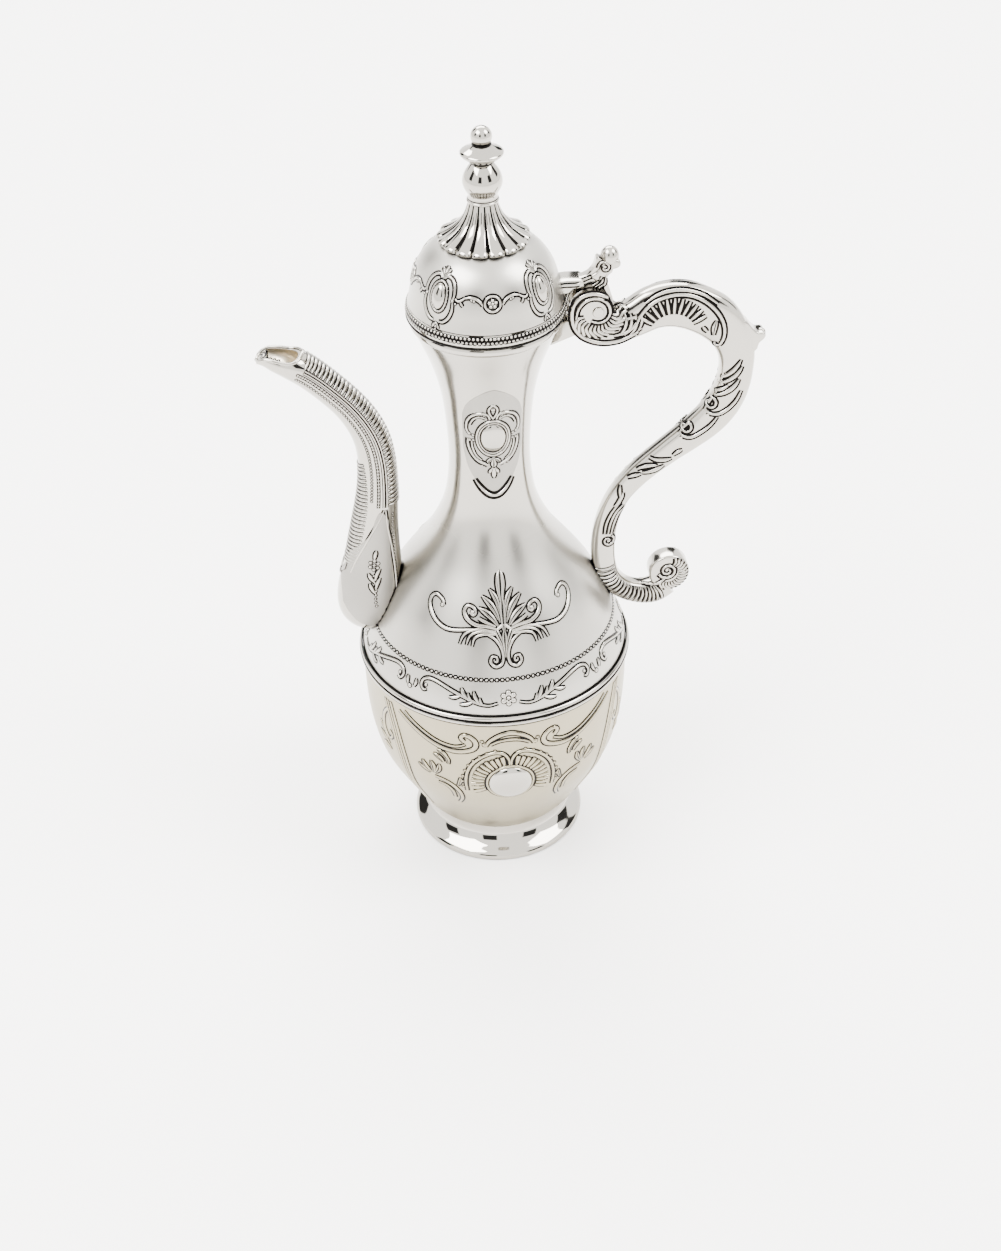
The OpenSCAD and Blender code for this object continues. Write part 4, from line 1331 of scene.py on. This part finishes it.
    @staticmethod
    def grip(relief):
        for base, tip, wide, bow in (
                ((82.4, 200.4), (90.4, 208.4), 0.75, -1.2), ((82.8, 198.6), (91, 205.6), 0.75, -1.3),
                ((81.8, 193.8), (90.2, 200.4), 0.8, -1.4), ((80.6, 195.2), (86.4, 198), 0.6, -0.5),
                ((50.6, 161), (55.8, 162.4), 0.6, 0.3), ((54, 164.4), (61.8, 165.6), 0.7, 0.8),
                ((56, 163), (64.2, 165.6), 0.7, -0.7), ((58.6, 169.2), (67, 168.4), 0.7, -0.9),
                ((67.2, 169.6), (70.8, 171.8), 0.6, 0.3), ((46, 148.8), (49.2, 155), 0.65, -0.5),
                ((48.6, 151.6), (48.2, 158), 0.5, 0.5)):
            relief.ridge(leaf(base, tip, wide, bow), rise=0.85, groove=0.3)
        outer_tail = ((79.4, 187, 0.4), (83.4, 186.2, 0.6), (87, 188.4, 0.6), (89.6, 191.6, 0.5),
                      (91.2, 195.4, 0.2))
        inner_tail = ((70.2, 178, 0.4), (73.6, 177, 0.6), (77.2, 178.8, 0.6), (80.6, 181.6, 0.5),
                      (83, 185, 0.2))
        for u, v, points in ((80.2, 190.4, outer_tail), (71.6, 180.8, inner_tail)):
            relief.ridge(curl(u, v, 2.8, 150, -1.2, 0.5), rise=0.9)
            relief.ridge([(u - 2.8, v + 0.6, 0.3), *points], rise=0.9)
        relief.ridge(curl(43.8, 133.4, 2.5, 60, -1.2, 0.45), rise=0.9)
        for shift in (0, 1.7, 3.2):
            relief.ridge([(48.4 + shift * 0.6, 151 - shift, 0.2), (45 + shift * 0.9, 146, 0.4),
                          (43 + shift * 0.9, 141, 0.4), (42.4 + shift * 0.8, 136.4, 0.25)], rise=0.8)

    @staticmethod
    def scroll(relief):
        rows = curve_through(HANDLE, 8)
        ways = headings(rows)
        for i in range(18):
            spot = 167 + 2 * i
            (x, z, deep, _), way = rows[spot], ways[spot]
            line = []
            for share, wide in ((-0.8, 0.15), (-0.4, 0.42), (0, 0.5), (0.4, 0.42), (0.8, 0.15)):
                bow = 1.4 * (1 - share * share)
                aside = deep * share
                line.append((x + way.z * aside + way.x * bow, z - way.x * aside + way.z * bow, wide))
            relief.ridge(line, rise=0.9, edge=0.45)
        for i in range(15):
            turn = math.radians(238 + 13 * i)
            ways = math.cos(turn), math.sin(turn)
            later = math.cos(turn + 0.2), math.sin(turn + 0.2)
            relief.ridge([(67.4 + 4.2 * ways[0], 115.6 + 4.2 * ways[1], 0.25),
                          (67.4 + 5.8 * ways[0], 115.6 + 5.8 * ways[1], 0.55),
                          (67.8 + 7.2 * later[0], 115.6 + 7.2 * later[1], 0.45)], rise=0.8)
        relief.ridge(curl(67.2, 116.8, 3.6, 200, 1.6, 0.55, count=20), rise=0.9)
        relief.ridge([(57.4, 110.4, 0.3), (61, 110.2, 0.5), (64.4, 111.6, 0.5), (66.6, 113.6, 0.3)], rise=0.9)

    def pin(self):
        shank = rod("hinge_pin_shank", PIN, 1.5, self.FORK + 0.2)
        heads = []
        for side in (-1, 1):
            heads.append(rod("head", (PIN.x, side * (self.FORK / 2 + 0.35), PIN.z), 1.95, 0.7, edge=0.3))
        seat(join("hinge_pin_and_heads", shank, *heads), POT, "polished", "hinge_pin")


class DALLAH_OT_lid(bpy.types.Operator):
    """Spin the lid's dome, rim and bezel, and set its beads and its hinge arm"""

    bl_idname = "dallah.lid"
    bl_label = "Lid"

    def execute(self, context):
        seat(turned("lid_dome_shell", wall_profile("lid_dome", 2.0)), LID, "satin", "lid_dome")
        band = turned("lid_rim_band", wall_profile("lid_rim", 0.8, 0.2))
        # Faces of the band round the bead rows, between 235 and 237.7 mm up, get the near-black painted shade.
        for face in band.data.polygons:
            spot = face.center / MM
            face.material_index = int(235.0 < spot.z < 237.7 and spot.xy.length > 26)
        seat(band, LID, "polished", "lid_rim")
        seat(turned("lid_bezel_skirt", wall_profile("lid_bezel", 1.0, 0.2)), LID, "polished", "lid_bezel")
        rows = Relief(round_wall("lid_rim", RIM_BEADS_HEIGHT), foot=0.2)
        around = math.tau * rows.place(0, 0)[0].xy.length
        beads = context.scene.dallah_sizes.lid_beads
        for i in range(beads):
            rows.bead(around * i / beads, 1.55, 0.45, sides=6)
            rows.bead(around * (i + 0.5) / beads, 0.05, 0.45, sides=6)
        seat(rows.piece("lid_bead_rows"), LID, "relief")
        # A near-black ring of painted shade, laid in the groove under the rim.
        seat(wire_ring("lid_rim_shade_ring", 27.5, 233.5, 0.36), LID, "painted_shade")
        self.arm()
        return {"FINISHED"}

    @staticmethod
    def arm():
        top = [(20.4, 243.9), (22, 243.4), (27, 244), (31.5, 243.8), (35.4, 245), (37.6, 247.8), (38.9, 251)]
        under = [(44, 246.4), (41.9, 243.2), (43.1, 238.4), (44.2, 234.6), (44.4, 232), (43.4, 228.6),
                 (40.6, 226.4)]
        left = [(36.4, 226.4), (33.4, 228.8), (32.4, 232.2), (32.8, 236), (33.4, 240), (28, 240.6),
                (21.6, 240.6)]
        blade = slab("arm_blade", curve_through([*top, *under, *left], 3), 3.8, edge=0.4)
        tongue = slab("arm_tongue", [(21.6, 240), (24, 239.2), (28.6, 239), (30, 240.6), (34, 241.4),
                                     (33.4, 243.9), (28, 244.1), (22, 243.6), (20.8, 242.4)], 8, edge=0.7)
        leafy = slab("thumb_leaf", curve_through([(36, 244.6), (38.6, 246.4), (40.6, 249.2), (43.6, 250.4),
                                                  (46.4, 249.4), (46, 247.2), (43, 246.2), (40.4, 243.2),
                                                  (37.6, 242.6)], 3), 5.6, edge=0.8)
        knob = pearl("thumb_knob", (43, 0, 250.6), 3.3, (1, 1, 1.12))
        arm = join("lid_arm_casting", blade, tongue, leafy, knob)
        seat(arm, LID, "cast", "lid_arm")
        for side in (-1, 1):
            relief = Relief(seen_from(arm, side), foot=0.2)
            relief.ridge([(22.4, 242.2, 0.2), (27, 242.6, 0.45), (32, 242.6, 0.45), (36.4, 244.2, 0.35)],
                         rise=0.8)
            relief.ridge(curl(41, 247.6, 2.2, 190, -1.1, 0.4), rise=0.8)
            for shift in (0, 1.2, 2.4):
                relief.ridge([(36.8 + shift, 240.6 - shift * 0.4, 0.2),
                              (38.8 + shift, 242 - shift * 0.4, 0.35),
                              (40 + shift * 0.6, 244.4 - shift * 0.5, 0.2)], rise=0.8)
            seat(relief.piece("lid_arm_relief_" + ("front" if side < 0 else "back")), LID, "relief")


class DALLAH_OT_lid_ornament(bpy.types.Operator):
    """Chase the lid: four framed cabochons joined by scroll swags with small rosettes"""

    bl_idname = "dallah.lid_ornament"
    bl_label = "Lid ornament"

    def execute(self, context):
        for i in range(4):
            cartouche = Relief(round_wall("lid_dome", CARTOUCHE_HEIGHT, -135 + 90 * i), foot=0.2)
            self.frame(cartouche)
            seat(cartouche.piece("lid_cartouche_%d" % (i + 1)), LID, "relief")
            if i != 1:
                swag = Relief(round_wall("lid_dome", SWAG_HEIGHT, FRONT + 90 * i), foot=0.2)
                self.swag(swag)
                seat(swag.piece("lid_swag_%d" % (i + 1)), LID, "relief")
        return {"FINISHED"}

    @staticmethod
    def frame(relief):
        relief.ridge(ring_line(0, 0.2, 3.2, 5.2, 0.3, count=28), rise=1)
        for i in range(26):
            turn = math.tau * i / 26
            relief.bead(3.2 * math.cos(turn), 0.2 + 5.2 * math.sin(turn), 0.42, sides=6)
        relief.pair([(0.6, 6.4, 0.25), (1.6, 7.4, 0.4), (3.6, 6.8, 0.45), (5.2, 4.6, 0.45), (5.8, 1.8, 0.35),
                     (5.6, 0.4, 0.25)], rise=0.9)
        relief.pair([(5.7, -0.8, 0.25), (5.8, -3.4, 0.4), (4.8, -6.2, 0.45), (3, -8, 0.45), (1.2, -8.4, 0.3)],
                    rise=0.9)
        for u, v, size in ((5.5, -0.2, 0.5), (6.7, 0.5, 0.35), (6.7, -1, 0.35)):
            relief.bead(u, v, size, sides=6)
            relief.bead(-u, v, size, sides=6)
        relief.ridge(leaf((0, 6.8), (0, 11), 0.6), groove=0.4)
        relief.pair(leaf((0.3, 7.2), (1.8, 10), 0.5, 0.2), groove=0.4)
        relief.pair(leaf((0.2, 6.6), (2.2, 8.6), 0.35, 0.1))
        for v, size in ((-9.2, 0.45), (-10.4, 0.4), (-11.4, 0.33)):
            relief.bead(0, v, size, sides=6)
        relief.pair(leaf((0.2, -9), (1.4, -11), 0.35, 0.1))

    @staticmethod
    def swag(relief):
        relief.ridge(ring_line(0, 0, 2.6, 2.6, 0.38, count=20), rise=0.9)
        for i in range(5):
            turn = math.radians(90 + 72 * i)
            relief.bead(1.15 * math.cos(turn), 1.15 * math.sin(turn), 0.55, sides=6)
        relief.bead(0, 0, 0.45, sides=6)
        relief.pair([(3.3, -0.6, 0.2), (4, 0.6, 0.4), (5.4, 1.7, 0.45), (7.4, 2.1, 0.42), (9.2, 1.7, 0.25)],
                    rise=0.9)
        relief.pair([(9.2, 1.7, 0.2), (10.6, 0.8, 0.35), (11.8, 0.4, 0.35), (12.6, 0.9, 0.2)], rise=0.9)
        for u, v in ((6.2, 0.9), (7, 1.2)):
            relief.bead(u, v, 0.35, sides=6)
            relief.bead(-u, v, 0.35, sides=6)
        relief.pair(leaf((11, 0.4), (10, -1.2), 0.3, 0.1))


class DALLAH_OT_finial(bpy.types.Operator):
    """Turn the finial and flute the skirt under it"""

    bl_idname = "dallah.finial"
    bl_label = "Finial"

    def execute(self, context):
        seat(self.calyx(context.scene.dallah_sizes.petals), LID, "polished", "finial_calyx")
        for node, step, edge in (("finial_baluster", 1.1, 0.15), ("finial_disc", 0.6, 0.1)):
            seat(turned(node + "_turning", wall_profile(node, step, edge)), LID, "polished", node)
        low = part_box("finial_ball")[0].z / MM
        ball = pearl("finial_ball_turning", (0, 0, low + 2.6), 3.6, sides=48)
        base = rod("ball_base", (0, 0, low - 5), 6, 10, along=(0, 0, 1))
        bore = rod("ball_bore", (0, 0, low - 1.4), 1.6, 9.2, along=(0, 0, 1))
        seat(cut(ball, base, bore), LID, "polished", "finial_ball")
        # Near-black rings of painted shade, laid in the grooves between the turnings and round the collar.
        cuts = []
        for below, above in (("finial_baluster", "finial_disc"), ("finial_disc", "finial_ball")):
            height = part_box(above)[0].z / MM
            cuts.append(wire_ring("cut", outer_radius(tree_of(below), height - 0.15), height, 0.35))
        cuts.append(wire_ring("cut", 4.9, 275.6, 0.35))
        seat(join("finial_shade_rings", *cuts), LID, "painted_shade")
        collar = turned("finial_collar", [(4.6, 274.2), (5.4, 274.3), (5.6, 274.8), (5.4, 275.3),
                                          (4.6, 275.4)])
        seat(collar, LID, "polished")
        return {"FINISHED"}

    @staticmethod
    def calyx(petals):
        """A flared skirt: each petal is a rounded flute that ends in a rounded tip.

        Between the petals the hem is drawn in, the top is pressed down, and the groove is painted near-black as
        shade."""
        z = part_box("lid_dome")[1].z / MM
        sides_per_petal, bore_edge, waist, flare = 14, 4, 5, 11
        hem_draw, shaded_groove_half = 0.085, 0.36
        over = curve_through([(16.1, z - 1.9), (15.4, z - 1.1), (12.6, z + 0.4), (9.6, z + 2.5),
                              (7.2, z + 5.4), (5.8, z + 8.4), (5.0, z + 11.2)], 3)
        profile = [(1.7, z + 0.03), (6.2, z + 0.03), (8.8, z), (11.9, z - 0.9), (14, z - 1.6),
                   (15.8, z - 2.3), *over, (1.7, z + 11.2)]
        made = turned("finial_calyx_skirt", profile, sides=petals * sides_per_petal, levels=0)
        for v in made.data.vertices:
            radius, height = v.co.xy.length / MM, v.co.z / MM
            if radius < bore_edge:
                continue
            phase = (math.atan2(v.co.y, v.co.x) / math.tau * petals) % 1 - 0.5
            lobe = math.sqrt(max(0.0, 1 - (2 * phase) ** 2))
            share = min(1.0, max(0.0, (radius - waist) / flare))
            skirt = radius * (1 - hem_draw * share ** 3 * (1 - lobe))
            if height > z - 2.0:
                v.co.z += (lobe - 0.7) * (0.35 + 0.75 * share) * MM
                skirt -= (1 - lobe) * 0.5 * (1 - share)
            v.co.xy *= skirt / radius
        # Faces in the grooves between the petals get the near-black painted shade.
        for face in made.data.polygons:
            spot = face.center / MM
            phase = (math.atan2(spot.y, spot.x) / math.tau * petals) % 1 - 0.5
            if abs(phase) > shaded_groove_half and 4.4 < spot.xy.length < 14 and spot.z > z - 1:
                face.material_index = 1
        return smooth(made, 50)


class DALLAH_OT_kept(bpy.types.Operator):
    """Give the pieces that keep their frame shape their metal"""

    bl_idname = "dallah.kept"
    bl_label = "Kept pieces"

    def execute(self, context):
        metals = {"finial_stud": "steel", "finial_nut": "steel", "finial_washer": "steel"}
        for name, node in frame["nodes"].items():
            node.data.materials.clear()
            node.data.materials.append(finish(metals.get(name, "polished")))
            for face in node.data.polygons:
                face.use_smooth = False
        return {"FINISHED"}


CLASSES = [DallahSizes, DallahFinishes, DALLAH_OT_stage, DALLAH_OT_foot, DALLAH_OT_body,
           DALLAH_OT_bowl_ornament, DALLAH_OT_bosses, DALLAH_OT_shoulder_ornament, DALLAH_OT_neck_ornament,
           DALLAH_OT_spout, DALLAH_OT_handle, DALLAH_OT_lid, DALLAH_OT_lid_ornament, DALLAH_OT_finial,
           DALLAH_OT_kept]


class DALLAH_PT_panel(bpy.types.Panel):
    """Lists the pot's sizes, finishes and pieces"""

    bl_label = "Dallah Coffee Pot"
    bl_idname = "DALLAH_PT_panel"
    bl_space_type = "VIEW_3D"
    bl_region_type = "UI"
    bl_category = "Dallah"

    def draw(self, context):
        for group in (context.scene.dallah_sizes, context.scene.dallah_finishes):
            for name in group.bl_rna.properties.keys():
                if name not in ("rna_type", "name"):
                    self.layout.prop(group, name)
        for kind in CLASSES:
            if issubclass(kind, bpy.types.Operator):
                self.layout.operator(kind.bl_idname)


def register():
    for kind in [*CLASSES, DALLAH_PT_panel]:
        bpy.utils.register_class(kind)
    bpy.types.Scene.dallah_sizes = bpy.props.PointerProperty(type=DallahSizes)
    bpy.types.Scene.dallah_finishes = bpy.props.PointerProperty(type=DallahFinishes)


def unregister():
    del bpy.types.Scene.dallah_sizes
    del bpy.types.Scene.dallah_finishes
    for kind in reversed([*CLASSES, DALLAH_PT_panel]):
        bpy.utils.unregister_class(kind)


def main():
    register()
    for kind in CLASSES:
        if issubclass(kind, bpy.types.Operator):
            getattr(bpy.ops.dallah, kind.bl_idname.split(".")[1])()


if __name__ == "__main__":
    main()
